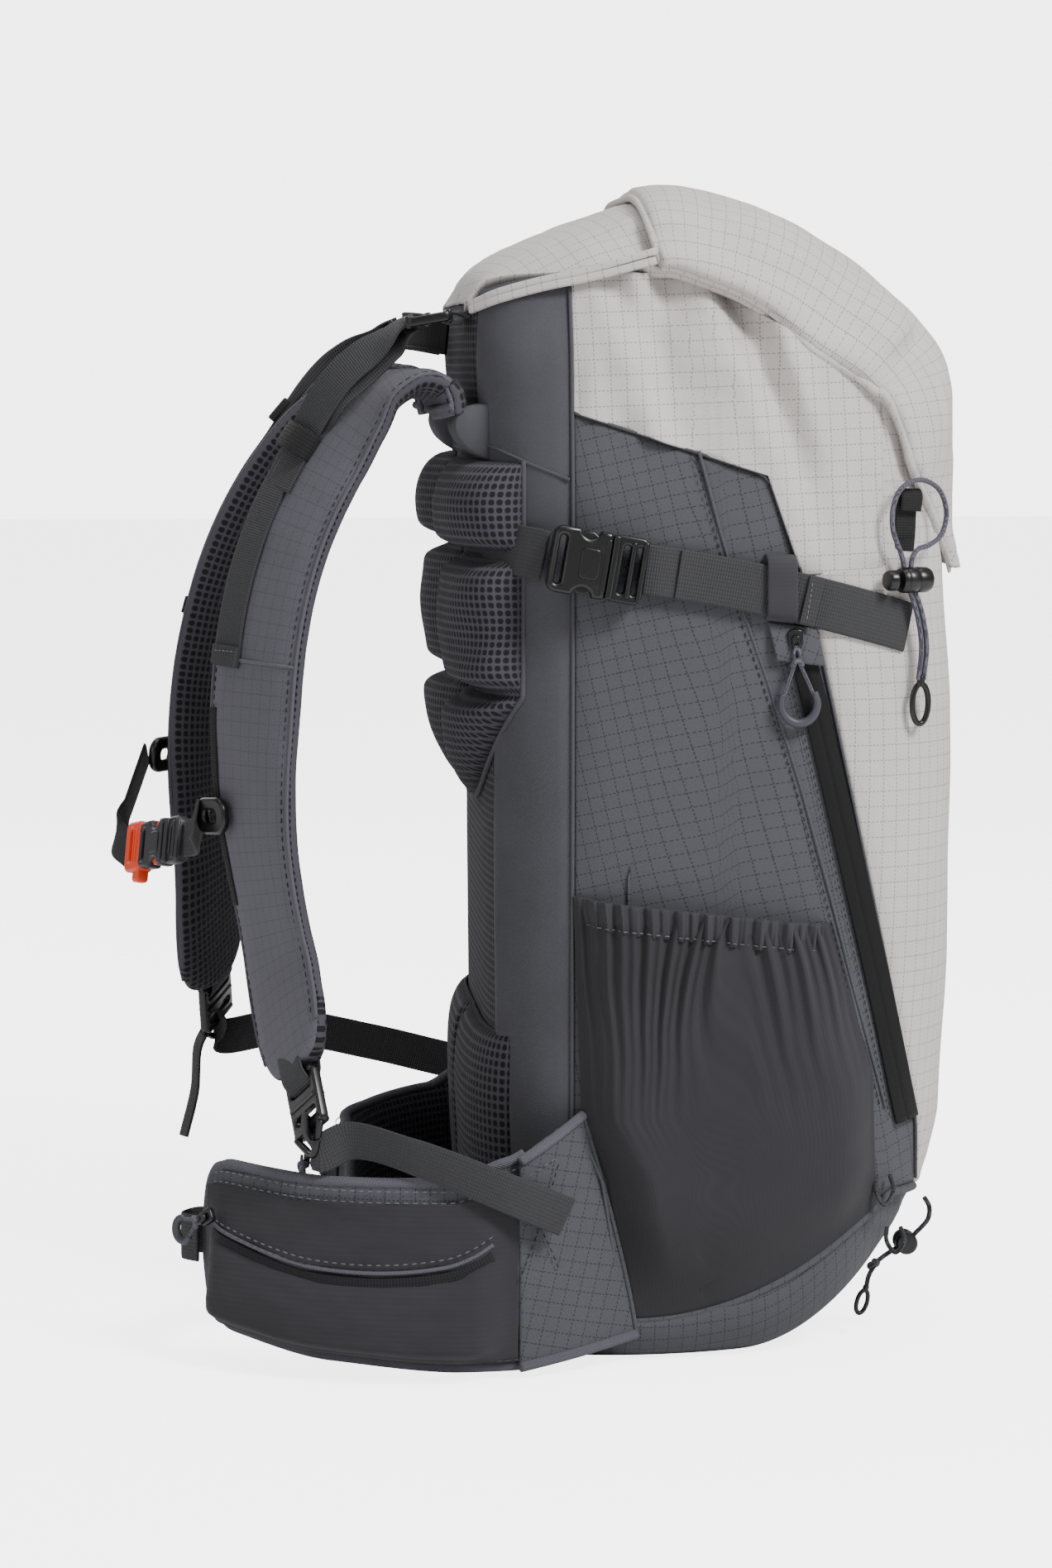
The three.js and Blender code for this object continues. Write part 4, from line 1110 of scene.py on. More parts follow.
side_edges = {
    "left": side_path([[STRIP_Y - GAP, 20.6], [STRIP_Y - GAP, 477]]),
    "right": side_path(shifted(BOUNDARY, GAP, -GAP)),
    "bottom": lambda u: (
        left_angle(mix(STRIP_Y - GAP, BASE_CORNER_Y + GAP, np.asarray(u, float)),
                   base_seam(mix(STRIP_Y - GAP, BASE_CORNER_Y + GAP, np.asarray(u, float))) + 2.4),
        base_seam(mix(STRIP_Y - GAP, BASE_CORNER_Y + GAP, np.asarray(u, float))) + 2.4,
    ),
    "top": side_path([[STRIP_Y - GAP, 477 - GAP], [-33 + GAP, 446 - GAP]]),
}
wall("side_panel_cloth_left", side_edges, 70, 110, side_lift, "bag", "dark",
                  uv=tilted_uv(-13), replaces=["side_panel_left"], relax=30)

upper_edges = {"left": side_path([[STRIP_Y - GAP, 477], [STRIP_Y - GAP, float(hem_z(STRIP_Y)) + 1]]),
    "right": side_path([[-50, 396.8], [FRONT_SEAM_Y - 2.2, 398.4], [FRONT_SEAM_Y - 2.2,
    float(hem_z(FRONT_SEAM_Y)) - 3]]), "bottom": side_path([[STRIP_Y - GAP, 477], [-33, 446], [-50, 396.8]]),
    "top": side_path([[STRIP_Y - GAP, float(hem_z(STRIP_Y)) + 1], [0, float(hem_z(0)) + 2], [-50, 514],
    [FRONT_SEAM_Y - 2.2, float(hem_z(FRONT_SEAM_Y)) - 3]]),}


def gathered_lift(u, v, P):
    """Folds that start under the top's hem and run down and forward across the light cloth."""
    y, z = P[..., 1], P[..., 2]
    depth = hem_z(y) - z
    fade = np.exp(-np.clip(depth, 0, None) / 62)
    s = y + 0.55 * depth + 5 * ripple(P, 40, 1.0)
    folds = np.sin(s / 8.6) + 0.6 * np.sin(s / 5.1 + 1.3)
    region = smooth(y, -80, -30) * (1 - smooth(y, 34, 58))
    deep = -5.2 * np.exp(-((y - 12 - 0.25 * depth) / 13) ** 2) * np.exp(-depth / 62)
    deep += -4.2 * np.exp(-((y + 22 + 0.4 * depth) / 12) ** 2) * np.exp(-depth / 70)
    deep += 3.0 * np.exp(-((y - 32 + 0.1 * depth) / 9) ** 2) * np.exp(-depth / 80)
    soft = 2.0 * ripple(P * (1, 1, 0.8), 52, 5.0) * smooth(depth, -5, 60)
    edge = smooth(np.minimum(u, 1 - u), 0, 0.06)
    return -0.4 + edge * (1.0 + (5.2 * folds * fade * region + 2.7 * deep * region + 1.6 * soft)) + 0.8


wall("upper_panel_cloth_left", upper_edges, 120, 90, gathered_lift, "bag", "light",
                   uv=tilted_uv(-2), replaces=["upper_panel_left"])

front_edge = [[BASE_CORNER_Y, 83], [-114, 120], [-58, 368], [-51, 398], [FRONT_SEAM_Y, 400], [FRONT_SEAM_Y,
    492]]
front_path = side_path(shifted(front_edge, -GAP))


def front_cloth():
    nu, nv = 110, 130
    u, v = np.meshgrid(np.linspace(0, 1, nu + 1), np.linspace(0, 1, nv + 1))
    angle, z = front_path(v)
    angle = mix(angle, 540 - angle, u)
    flat = ring(angle, z)
    lift = -0.4 + puff(u, v, 1.6, 0.03) + 1.3 * ripple(flat * (1, 1, 0.7), 64, 12.0) * smooth(np.minimum(u,
        1 - u), 0, 0.06)
    P = ring(angle, z, lift)
    arc = np.concatenate([np.zeros((nv + 1, 1)), np.cumsum(np.linalg.norm(np.diff(flat, axis=1), axis=2),
        axis=1)], axis=1)
    arc -= arc[:, [nu // 2]]
    return sheet("front_panel_cloth", P, "bag", "light", 1.4, turned(arc, z, 0), ["front_panel"], (0, -1, 0))


front_cloth()


def base_cloth():
    nu, nv = 60, 60
    u, v = np.meshgrid(np.linspace(0, 1, nu + 1), np.linspace(0, 1, nv + 1))
    y = mix(81, -118, v)
    rise = base_seam(y) - base_z(y) + 1.6
    half = np.abs(ring(left_angle(np.clip(y, -116, 70), 40), 40)[..., 0]) + 0.4
    s = 2 * u - 1
    flat = 0.6
    a = np.clip((np.abs(s) - flat) / (1 - flat), 0, 1) * math.pi / 2
    x = np.where(np.abs(s) <= flat, s / flat * (half - rise), np.sign(s) * (half - rise + rise * np.sin(a)))
    up = np.where(np.abs(s) <= flat, 0, rise * (1 - np.cos(a)))
    z = np.maximum(base_z(y) + up, 0.0)
    P = np.stack([x, y, z], -1)
    return sheet("base_cloth", P, "bag", "dark", 1.6, None, ["base_panel"], (0, 0, -1))


base_cloth()

strip_edges = {"left": lambda t: (back_angle(-BACK_HALF - GAP, mix(12, 537, np.asarray(t, float))), mix(12,
    537, np.asarray(t, float))), "right": lambda t: (left_angle(STRIP_Y + GAP, mix(19, 546, np.asarray(t,
    float))), mix(19, 546, np.asarray(t, float))), "bottom": lambda t: (mix(back_angle(-BACK_HALF - GAP, 12),
    left_angle(STRIP_Y + GAP, 19), np.asarray(t, float)), mix(12, 19, np.asarray(t, float))),
    "top": lambda t: (mix(back_angle(-BACK_HALF - GAP, 537), left_angle(STRIP_Y + GAP, 546), np.asarray(t,
    float)), mix(537, 546, np.asarray(t, float))),}


def strip_lift(u, v, P):
    ridge = 1.5 * np.exp(-((P[..., 1] - 97) / 3.0) ** 2) * smooth(P[..., 2], 60, 150) * (1 - smooth(P[..., 2],
        430, 470))
    return -0.5 + puff(u, v, 1.2, 0.1) + ridge + 0.7 * ripple(P * (1, 1, 0.4), 46, 20.0)


wall("side_strip_cloth_left", strip_edges, 44, 110, strip_lift, "bag", "plain",
                  uv=tilted_uv(0), replaces=["side_strip_left"])


def back_cloth():
    u, v = np.meshgrid(np.linspace(0, 1, 61), np.linspace(0, 1, 111))
    z = mix(0, 530, v)
    x = mix(-BACK_HALF, BACK_HALF, u)
    P = ring(back_angle(x, z), z, -0.4 + 0 * x)
    return sheet("back_panel_cloth", P, "bag", "mesh", 1.6, None, ["back_panel"], (0, 1, 0))


back_cloth()


# ---------------------------------------------------------------- seams, piping and the side zip
def side_line(points, lift):
    y, z = polyline(points)(np.linspace(0, 1, 60))
    return on_side(y, z, lift)


def seam_tube(name, points, radius, lift, material, body="bag"):
    return tube(name, side_line(points, lift), radius, body, material, count=120, sides=8)


PIPING = [[1, 458], [-9, 420], [-21, 379], [-34, 342], [-51, 289], [-67, 232], [-78, 190], [-96, 128]]
piping = seam_tube("piping_left", PIPING, 0.9, 0.9, "dark")
stitches("piping_stitches_left", spline(side_line(shifted(PIPING, 3.0), 1.5)), "bag", "thread_dark", 2.6, 1.6,
    0.3)
seam_tube("strip_seam_left", [[STRIP_Y, 22], [STRIP_Y, 300], [STRIP_Y, 540]], 1.0, 0.2, "plain")
seam_tube("light_panel_seam_left", [[62.6, 477], [-33, 446], [-50, 398.6], [-58, 368], [-114, 120], [-117,
    86]], 0.8, 0.3, "dark")
seam_tube("yoke_seam_left", [[103, 461], [84, 452], [64.5, 444]], 0.9, 0.7, "plain")
base_line = [[y, float(base_seam(y)) + 2.0] for y in np.linspace(62, -116, 26)]
seam_tube("base_seam_left", base_line, 2.3, -0.2, "dark")

ZIP = [(-47, 372), (-57.5, 330), (-74, 262), (-90, 196), (-103.5, 138), (-108, 120)]


def side_zip():
    t = np.linspace(0, 1, 90)
    y, z = polyline(ZIP)(t)
    w = np.linspace(-1, 1, 15)
    half = 6.4 * smooth(t, -0.02, 0.03)[:, None]
    dy = -np.gradient(z)[:, None]
    dz = np.gradient(y)[:, None]
    n = np.hypot(dy, dz)
    Y = y[:, None] + w * half * dy / n
    Z = z[:, None] + w * half * dz / n
    lift = 1.4 + 0.5 * np.cos(w * math.pi / 2)[None, :] + 0.5 * (1 - np.exp(-(w * 9) ** 2))[None, :]
    P = on_side(Y, Z, np.broadcast_to(lift, Y.shape))
    s = np.r_[0, np.cumsum(np.hypot(np.diff(y), np.diff(z)))]
    uv = np.stack(np.broadcast_arrays(s[:, None], w * half), -1) * MM
    return sheet("side_zip_tape_left", P, "bag", "zip", 1.0, uv, (), (-1, 0, 0))


side_zip()
stitches("side_zip_stitches_left", spline(side_line(shifted(ZIP, 9.2), 1.6)), "bag", "thread_dark", 2.4, 1.4,
    0.28)


def zip_garage():
    """A folded cloth cover over the top end of the zip."""
    u, v = np.meshgrid(np.linspace(0, 1, 25), np.linspace(0, 1, 19))
    y = mix(-33, -57, u) - 4 * v
    z = mix(373, 354, v) + mix(1, -2, u)
    lift = 2.2 + 3.4 * np.sin(np.clip(v, 0, 1) * math.pi * 0.62) + 0.5 * np.cos((u - 0.5) * 3)
    P = on_side(y, z, lift)
    return sheet("zip_garage_left", P, "bag", "dark", 1.4, tilted_uv(20)(u, v, P), (), (-1, 0, 0))


zip_garage()


# ---------------------------------------------------------------- stretch pockets
pocket_edges = {
    "left": side_path([[33, float(base_seam(33)) + 3], [45, 94], [58, 126], [STRIP_Y - 0.6, 238]]),
    "right": side_path([[-93, float(base_seam(-93)) + 3], [-88, 150], [-67, 223]]),
    "bottom": lambda u: (
        left_angle(mix(33, -93, np.asarray(u, float)), base_seam(mix(33, -93, np.asarray(u, float))) + 3.0),
        base_seam(mix(33, -93, np.asarray(u, float))) + 3.0,
    ),
    "top": side_path([[STRIP_Y - 0.6, 238], [-67, 223]]),
}


def pocket_lift(u, v, P):
    belly = 14.5 * smooth(np.minimum(u, 1 - u), 0, 0.2) ** 0.7 * smooth(v, 0, 0.22)
    tight = 1 - 0.25 * smooth(v, 0.86, 1.0)
    s = 2 * u - 1
    fan = u + 0.10 * s * (1 - v)
    folds = np.sin(fan * 118 + 2.0 * ripple(P, 45, 2.0)) * 0.7 + 0.6 * np.sin(fan * 61 + 1.7)
    fade = (smooth(v, 0.30, 0.97)) ** 1.4 * smooth(np.minimum(u, 1 - u), 0, 0.05)
    drape = 1.3 * ripple(P, 60, 7.0) * smooth(v, 0, 0.2)
    return 1.2 + belly * tight + 2.0 * folds * fade + drape


wall("stretch_pocket_cloth_left", pocket_edges, 200, 90, pocket_lift, "bag", "knit", 1.2, uv=lambda u, v,
    P: np.stack([u * 0.17, P[..., 2] * MM], -1), replaces=["stretch_pocket_left"])


def pocket_hem():
    u, v = np.meshgrid(np.linspace(0, 1, 161), np.linspace(0, 1, 9))
    vv = mix(0.935, 1.008, v)
    yb, zb = polyline([[STRIP_Y - 0.6, 238], [-67, 223]])(u)
    z = zb - (1 - v) * 15.0
    y = yb - (1 - v) * mix(2.0, -2.6, u)
    base = ring(left_angle(y, z), z)
    lift = pocket_lift(u, np.full_like(u, 0.965), base) * 0.98 + 1.1 + 0.55 * np.sin(u * 330) + 0.9 * np.sin(
        v * math.pi)
    lift -= 6.5 * (1 - smooth(np.minimum(u, 1 - u), 0, 0.05))
    P = ring(left_angle(y, z), z, np.maximum(lift, 1.0))
    uv = np.stack([u * 0.14, v * 0.015], -1)
    return sheet("stretch_pocket_hem_left", P, "bag", "elastic", 2.0, uv, (), (-1, 0, 0)), P


hem, hem_points = pocket_hem()
hem_line = hem_points[1] + (-1.2, 0, 0)
stitches("stretch_pocket_hem_stitches_left", spline(hem_line[::4]), "bag", "thread", 2.6, 2.0, 0.32)


# ---------------------------------------------------------------- the folded top
lid_line = spline([
    (0, 114, 532), (0, 106, 548), (0, 65, 569.5), (0, 12, 585), (0, -50, 572), (0, -86, 553), (0, -118, 527),
    (0, -134, 503), (0, -139.5, 455), (0, -141, 398),
], 600)
lid_half = stations([[0, 100], [0.165, 126], [0.27, 130], [0.385, 133], [0.57, 137], [0.72, 136], [0.86, 133],
    [1, 96]])
lid_drop = stations([[0, 1], [0.165, 24], [0.27, 36], [0.385, 42], [0.57, 54], [0.72, 48], [0.86, 33], [1,
    6]])
LID_LENGTH = 397.0
FOLD_AT = 0.262


def lid_point(u, s, lift, spread=0.0):
    centre = lid_line(u)
    tangent = unit(lid_line(np.clip(u + 0.004, 0, 1)) - lid_line(np.clip(u - 0.004, 0, 1)))
    down = unit(np.stack([np.zeros_like(u), -tangent[..., 2], tangent[..., 1]], -1))
    edge = (np.abs(s) ** 5)[..., None]
    side = np.stack([np.sign(s), np.zeros_like(s), np.zeros_like(s)], -1)
    share = np.clip(edge * lid_drop(u)[..., None] * 0.04, 0, 1)
    inward = unit(down * (1 - share) - side * share)
    across = np.stack([s * (lid_half(u) + spread), np.zeros_like(s), np.zeros_like(s)], -1)
    return centre + across + down * edge * lid_drop(u)[..., None] - inward * np.asarray(lift)[..., None]


def lid_grid(u0, u1, nu, nv, s1=1.0):
    s = np.linspace(-s1, s1, nv + 1)
    return np.meshgrid(np.linspace(u0, u1, nu + 1), s)


def front_band():
    u, s = lid_grid(FOLD_AT, 1.0, 170, 130)
    P0 = lid_point(u, s, np.zeros_like(u))
    near_fold = smooth((u - FOLD_AT) * LID_LENGTH, 0, 5)
    stand = mix(0.5, 5.2, near_fold) * mix(1.0, 0.35, smooth(u, 0.3, 0.7)) * mix(1.0, -0.6, smooth(u, 0.80,
        1.0))
    rim = (1 - np.abs(s)) * lid_half(u)
    roll = 2.6 * np.exp(-((rim - 4.5) / 4.5) ** 2) - 2.4 * np.exp(-(rim / 1.8) ** 2)
    valley = -1.6 * np.exp(-((rim - 13) / 3.5) ** 2)
    soft = 2.0 * ripple(P0 * (0.6, 1, 1), 58, 31.0) + 0.8 * ripple(P0 * (0.8, 1, 1), 23, 33.0)
    drape = 2.6 * np.sin((u - 0.5) * 34 + s * 3.1) * np.exp(-((np.abs(s) - 0.86) / 0.13) ** 2) * smooth(u,
        0.5, 0.62)
    knot = 4.2 * np.exp(-((u - 0.655) / 0.018) ** 2 - ((np.abs(s) - 0.86) / 0.09) ** 2)
    knot -= 4.4 * np.exp(-((u - 0.685) / 0.014) ** 2 - ((np.abs(s) - 0.83) / 0.10) ** 2)
    pleat = 2.4 * np.exp(-((np.abs(s) - 0.90) / 0.03) ** 2) * smooth(u, 0.70, 0.78) * (1 - smooth(u, 0.85,
        0.98))
    pleat -= 2.4 * np.exp(-((np.abs(s) - 0.84) / 0.025) ** 2) * smooth(u, 0.70, 0.78) * (1 - smooth(u, 0.85,
        0.98))
    P = lid_point(u, s, stand + roll + valley + soft * smooth(rim, 0, 25) + drape + knot + pleat)
    uv = turned(s * lid_half(u), u * LID_LENGTH, 0)
    return sheet("folded_top_band", P, "lid", "light", 2.2, uv, ["lid"], (0, 0, 1))


def back_ramp():
    u, s = lid_grid(0.0, FOLD_AT + 0.035, 70, 110)
    P0 = lid_point(u, s, np.zeros_like(u))
    rim = (1 - np.abs(s)) * lid_half(u)
    tuck = -3.5 * smooth(u, FOLD_AT - 0.09, FOLD_AT) * smooth(np.abs(s), 0.80, 0.95)
    crease = -1.6 * np.exp(-((np.abs(s) - 0.82 - 0.2 * (u - 0.1)) / 0.035) ** 2) * smooth(u, 0.05, 0.2)
    soft = 1.7 * ripple(P0, 50, 41.0) + 0.6 * ripple(P0, 20, 43.0)
    P = lid_point(u, s, -0.8 + tuck + crease + soft * smooth(rim, 0, 20), -1.5)
    uv = turned(s * lid_half(u), u * LID_LENGTH, 6)
    return sheet("folded_top_ramp", P, "lid", "light", 1.6, uv, (), (0, 0, 1))


front_band()
ramp = back_ramp()


def tucked_edge():
    """Cloth turned in from the top's lower edge, which closes it against the bag's walls."""
    u = np.linspace(0.0, 0.995, 160)
    rows = []
    for share in np.linspace(0, 1, 9):
        edge = lid_point(u, np.full_like(u, -1.0), np.full_like(u, -1.0))
        inward = np.array([13.0, 0, 0]) * share + np.array([0, 0, -5.0]) * math.sin(share * math.pi)
        rows.append(edge + inward)
    P = np.array(rows)
    return sheet("folded_top_tuck_left", P, "lid", "light", 1.2, length_uv(P), (), (-1, 0, -1))


both(tucked_edge())


def folded_layer(name, points, width, thick, tilt):
    """One turned-in layer of cloth showing under the edge of the folded top."""
    return tape(name, points, tilt, width, "lid", "light", thick, count=60)


layers = []
for k, (z0, z1, out) in enumerate([(545, 556, -131.5), (541.5, 551.5, -133.2)]):
    pts = [(out + 27, 111, z0 - 15 + k), (out + 15, 98, z0 - 9), (out + 6, 76, z0 - 3), (out + 1, 54,
        z0 + 1.5), (out - 1, 36, mix(z0, z1, 0.6)), (out - 1, 21, z1)]
    layers.append(folded_layer("hem_layer_%d_left" % k, pts, 3.8, 2.8, (0.25, 0, 1)))

rim_u = np.linspace(FOLD_AT + 0.004, 0.96, 160)
for k, (lift, spread, r) in enumerate([(-1.2, 0.5, 2.3), (-5.6, -1.0, 1.9)]):
    line = lid_point(rim_u, np.full_like(rim_u, -1.0), np.full_like(rim_u, lift), spread)
    roll = tube("top_hem_roll_%d_left" % k, line[::4], r, "lid", "light", count=170)
    both(roll)
fold_s = np.linspace(-0.985, 0.985, 120)
fold_line = lid_point(np.full_like(fold_s, FOLD_AT + 0.004), fold_s, np.full_like(fold_s, 2.0))
tube("fold_edge_roll", fold_line[::4], 1.9, "lid", "light", count=150)
for piece in layers:
    both(piece)

# ---------------------------------------------------------------- back padding
GROOVES = (406, 337)


def pad_shape(P):
    z = P[..., 2]
    cells = np.ones_like(z)
    for g in GROOVES:
        cells = cells * (1 - 0.86 * np.exp(-((z - g) / 5.0) ** 2))
    return cells


def pad_sheet(name, edges, nu, nv, height, replaces, body="bag", groove=True):
    u, v, angle, z = coons(edges, nu, nv)
    P0 = ring(angle, z)
    bu = 1 - np.abs(2 * u - 1) ** 5
    bv = 1 - np.abs(2 * v - 1) ** 10
    crown = (np.clip(bu, 0, 1) ** 0.55) * (np.clip(bv, 0, 1) ** 0.6)
    cells = pad_shape(P0) if groove else np.ones_like(z)
    soft = 0.7 * ripple(P0, 30, 51.0)
    P = ring(angle, z,
        0.6 + height * crown * cells * (0.86 + 0.14 * np.sin(v * 3 * math.pi) ** 2) + soft * crown)
    return sheet(name, P, body, "mesh", 1.2, even_uv(P), replaces, (0, 1, 0))


pad_bottom = lambda t: mix(276, 336, np.asarray(t, float))
pad_edges = {"left": lambda t: (back_angle(-17, mix(276, 455, np.asarray(t, float))), mix(276, 455,
    np.asarray(t, float))), "right": lambda t: (left_angle(86, mix(336, 452, np.asarray(t, float))), mix(336,
    452, np.asarray(t, float))), "bottom": lambda t: (mix(back_angle(-17, pad_bottom(t)), left_angle(86,
    pad_bottom(t)), np.asarray(t, float)), pad_bottom(t)), "top": lambda t: (mix(back_angle(-17, 455),
    left_angle(86, 452), np.asarray(t, float)), mix(455, 452, np.asarray(t, float))),}
pad_sheet("back_pad_mesh_left", pad_edges, 80, 120, 21.5, ["back_pad_left"])
tube("pad_piping_left", np.vstack([on_side(np.full(30, 86.0), np.linspace(453, 336, 30), 1.2),
    ring(np.linspace(float(left_angle(86, 336)), float(back_angle(-17, 276)), 24), np.linspace(336, 276, 24),
    1.2)]), 1.4, "bag", "plain", count=160)


def lumbar():
    u, v = np.meshgrid(np.linspace(0, 1, 101), np.linspace(0, 1, 61))
    z = mix(30, 165, v)
    reach = mix(112, 122, v)
    angle = back_angle(mix(-reach, reach, u), z)
    P0 = ring(angle, z)
    crown = np.clip(1 - np.abs(2 * u - 1) ** 4, 0, 1) ** 0.6 * np.clip(1 - np.abs(2 * v - 1) ** 6, 0,
        1) ** 0.6
    split = 1 - 0.8 * np.exp(-(P0[..., 0] / 6) ** 2)
    P = ring(angle, z, 0.8 + 11.5 * crown * split + 0.6 * ripple(P0, 34, 55.0) * crown)
    return sheet("lumbar_pad_mesh", P, "bag", "open_mesh", 1.2, even_uv(P), ["lumbar_pad"], (0, 1, 0))


lumbar()

# ---------------------------------------------------------------- shoulder straps
strap_line = spline([
    (-86, 120.5, 475), (-86, 125, 487), (-86, 137, 492), (-86, 153, 487), (-86, 168, 472), (-87, 184, 450),
    (-89, 202, 414), (-92, 214, 370), (-94, 219, 320), (-95, 218, 270), (-101, 208, 208), (-114, 203, 178),
    (-130, 198, 151),
], even=False)
strap_splay = stations([[0, 0.1], [0.2, 0.3], [0.4, 0.68], [0.65, 0.68], [0.8, 0.5], [1, 0.45]])


def strap_frame(u):
    u = np.asarray(u, float)
    centre = strap_line(u)
    tangent = unit(strap_line(np.clip(u + 0.004, 0, 1)) - strap_line(np.clip(u - 0.004, 0, 1)))
    turn = strap_splay(u)
    across = np.stack([np.cos(turn), np.sin(turn), np.zeros_like(turn)], -1)
    across = unit(across - tangent * np.sum(across * tangent, -1, keepdims=True))
    out = np.cross(across, tangent)
    out *= np.where(out[..., 1] + out[..., 2] < 0, -1, 1)[..., None]
    return centre, tangent, across, out


def on_strap(u, side, lift):
    c, _, a, o = strap_frame(u)
    return c + a * np.asarray(side, float)[..., None] + o * np.asarray(lift, float)[..., None]


def strap_width(u):
    end = np.clip((u - 0.91) / 0.09, 0, 1)
    return STRAP_WIDTH * (0.42 + 0.58 * np.sqrt(np.clip(1 - end ** 2.4, 0, 1)))


def strap_skin(s):
    """Height of the strap's outer face over its centre line, at a share of its half width."""
    s = np.abs(np.asarray(s, float))
    rise = np.sqrt(np.clip(1 - s ** (2 / 0.55), 0, 1)) ** 0.62
    return rise * STRAP_THICK / 2 * 0.92 * (1 - 0.42 * s ** 4)


def padded_strap():
    rows, cols = 150, 56
    u = np.linspace(0, 1, rows)[:, None]
    a = np.linspace(0, math.tau, cols, endpoint=False)[None, :]
    s = spow(np.cos(a), 0.55)
    h = spow(np.sin(a), 0.62)
    u, s, h = np.broadcast_arrays(u, s, h)
    body_puff = np.where(h < 0, 1.12, 0.92)
    lift = h * STRAP_THICK / 2 * body_puff * (1 - 0.42 * s ** 4)
    P = on_strap(u, s * strap_width(u) / 2, lift)
    P = P + (0.55 * ripple(P, 26, 61.0))[..., None] * strap_frame(u)[3]
    c = strap_line(np.linspace(0, 1, rows))
    along = np.r_[0, np.cumsum(np.linalg.norm(np.diff(c, axis=0), axis=1))]
    uv = np.stack(np.broadcast_arrays(along[:, None], s * strap_width(u) / 2), -1) * MM

    def which(_, k):
        angle = k * math.tau
        outer = (np.sin(angle) > 0.12) & (np.abs(spow(np.cos(angle), 0.55)) < 0.955)
        return np.where(outer, 0, 1)

    return loft("shoulder_strap_padding_left", P, "strap_left", ["strap", "mesh"], ["shoulder_strap_left"],
        uv=uv, index=which)


strap_parts = [padded_strap()]
su = np.linspace(0.01, 0.985, 90)
for sign, tag in ((-1, "outer"), (1, "inner")):
    edge = on_strap(su, sign * 0.955 * strap_width(su) / 2, np.full_like(su, strap_skin(0.955) + 0.3))
    strap_parts.append(tube("strap_piping_%s_left" % tag, edge[::3], 1.0, "strap_left", "binding", count=170,
        sides=8))
    seam = on_strap(su, sign * 0.86 * strap_width(su) / 2, np.full_like(su, strap_skin(0.86) + 0.2))
    strap_parts.append(stitches("strap_stitches_%s_left" % tag, spline(seam[::3]), "strap_left",
        "thread_dark", 2.8, 1.8, 0.3))
cross = on_strap(np.full(12, 0.615), np.linspace(-31, 31, 12), strap_skin(np.linspace(-31, 31,
    12) / 33) + 0.2)
strap_parts.append(tube("strap_cross_seam_left", cross, 0.9, "strap_left", "strap", count=40, sides=8))
yoke_end = on_strap(np.full(12, 0.03), np.linspace(-32, 32, 12), strap_skin(np.linspace(-32, 32, 12) / 33))
strap_parts.append(tube("strap_root_seam_left", yoke_end, 2.2, "strap_left", "binding", count=40, sides=8))
rail = on_strap(np.linspace(0.655, 0.80, 24), np.full(24, 27.0), np.full(24, float(strap_skin(0.82)) + 0.7))
strap_parts.append(tape("sternum_rail_left", rail, lambda t: strap_frame(mix(0.655, 0.80, t))[2], 5.0,
    "strap_left", "web_black", 1.6, count=60))
keeper = [tuple(on_strap(0.405, x, h)) for x, h in ((4, 6.4), (4.6, 10.5), (17, 14.2), (29.4, 10.5), (30,
    6.4))]
strap_parts.append(tape("lifter_keeper_left", keeper, strap_frame(0.405)[1], 14, "strap_left", "web_black",
    1.5, count=40))


def lifter(side, swing_by):
    lying = [swing(on_strap(u, 17, STRAP_THICK / 2 + 4.2), swing_by) for u in (0.62, 0.57, 0.52, 0.47, 0.42)]
    bridge = [swing((-88, 176, 494), swing_by * 0.7), np.array((-91, 152, 514)), np.array((-92, 146, 520)),
        np.array((-92, 138, 523.6))]
    pts = np.array(lying + bridge)
    pts[:5] += swing(strap_frame(0.5)[3] * -3.6 + HINGE, swing_by) - HINGE
    flip = np.array([-1 if side == "right" else 1, 1, 1])
    turn = lambda t: mix(np.array([0.78, 0.62, 0.0]), np.array([0.62, 0.62, 0.48]), smooth(t, 0.5, 0.72)[:,
        None])
    turn_end = np.array([0.97, 0.1, 0.2])
    twist = lambda t: mix(turn(t), turn_end, smooth(t, 0.84, 0.97)[:, None]) * flip
    body = ("bag", "strap_" + side, (flip[0] * -91, 149, 518), (flip[0] * -88, 182, 474))
    web = tape("lifter_webbing_tape_" + side, pts * flip, twist, 20, body, "web", 1.7,
        ["lifter_webbing_" + side], count=120)
    under = [swing(on_strap(u, 14, 7.6), swing_by) for u in (0.46, 0.42, 0.38)]
    under += [swing((-86, 178, 482), swing_by * 0.7), np.array((-90, 156, 505)), np.array((-91, 146, 514)),
        np.array((-92, 136, 520.4))]
    tape("lifter_fixed_webbing_" + side, np.array(under) * flip, twist, 20, body, "web", 1.7, count=90)
    path = spline(pts * flip)
    end = path(np.linspace(0.004, 0.05, 8)) + (swing(strap_frame(0.6)[3] * 1.6 + HINGE,
        swing_by) - HINGE) * flip
    hem = tape("lifter_webbing_end_" + side, end, np.array([0.78, 0.62, 0]) * flip, 20, "strap_" + side,
        "web", 1.7, count=14)
    row = np.array([end[5] + unit(np.array([0.78, 0.62, 0]) * flip) * k for k in np.linspace(-8, 8, 6)])
    row += (swing(strap_frame(0.6)[3] * 1.2 + HINGE, swing_by) - HINGE) * flip
    stitches("lifter_end_stitches_" + side, spline(row), "strap_" + side, "thread", 2.0, 1.1, 0.32)
    return web, hem


lifter("left", 0.0)
lifter("right", FAR_STRAP_SWING)

for piece in strap_parts:
    both(piece, "strap_right", ["shoulder_strap_right"] if "padding" in piece.name else (), swing)


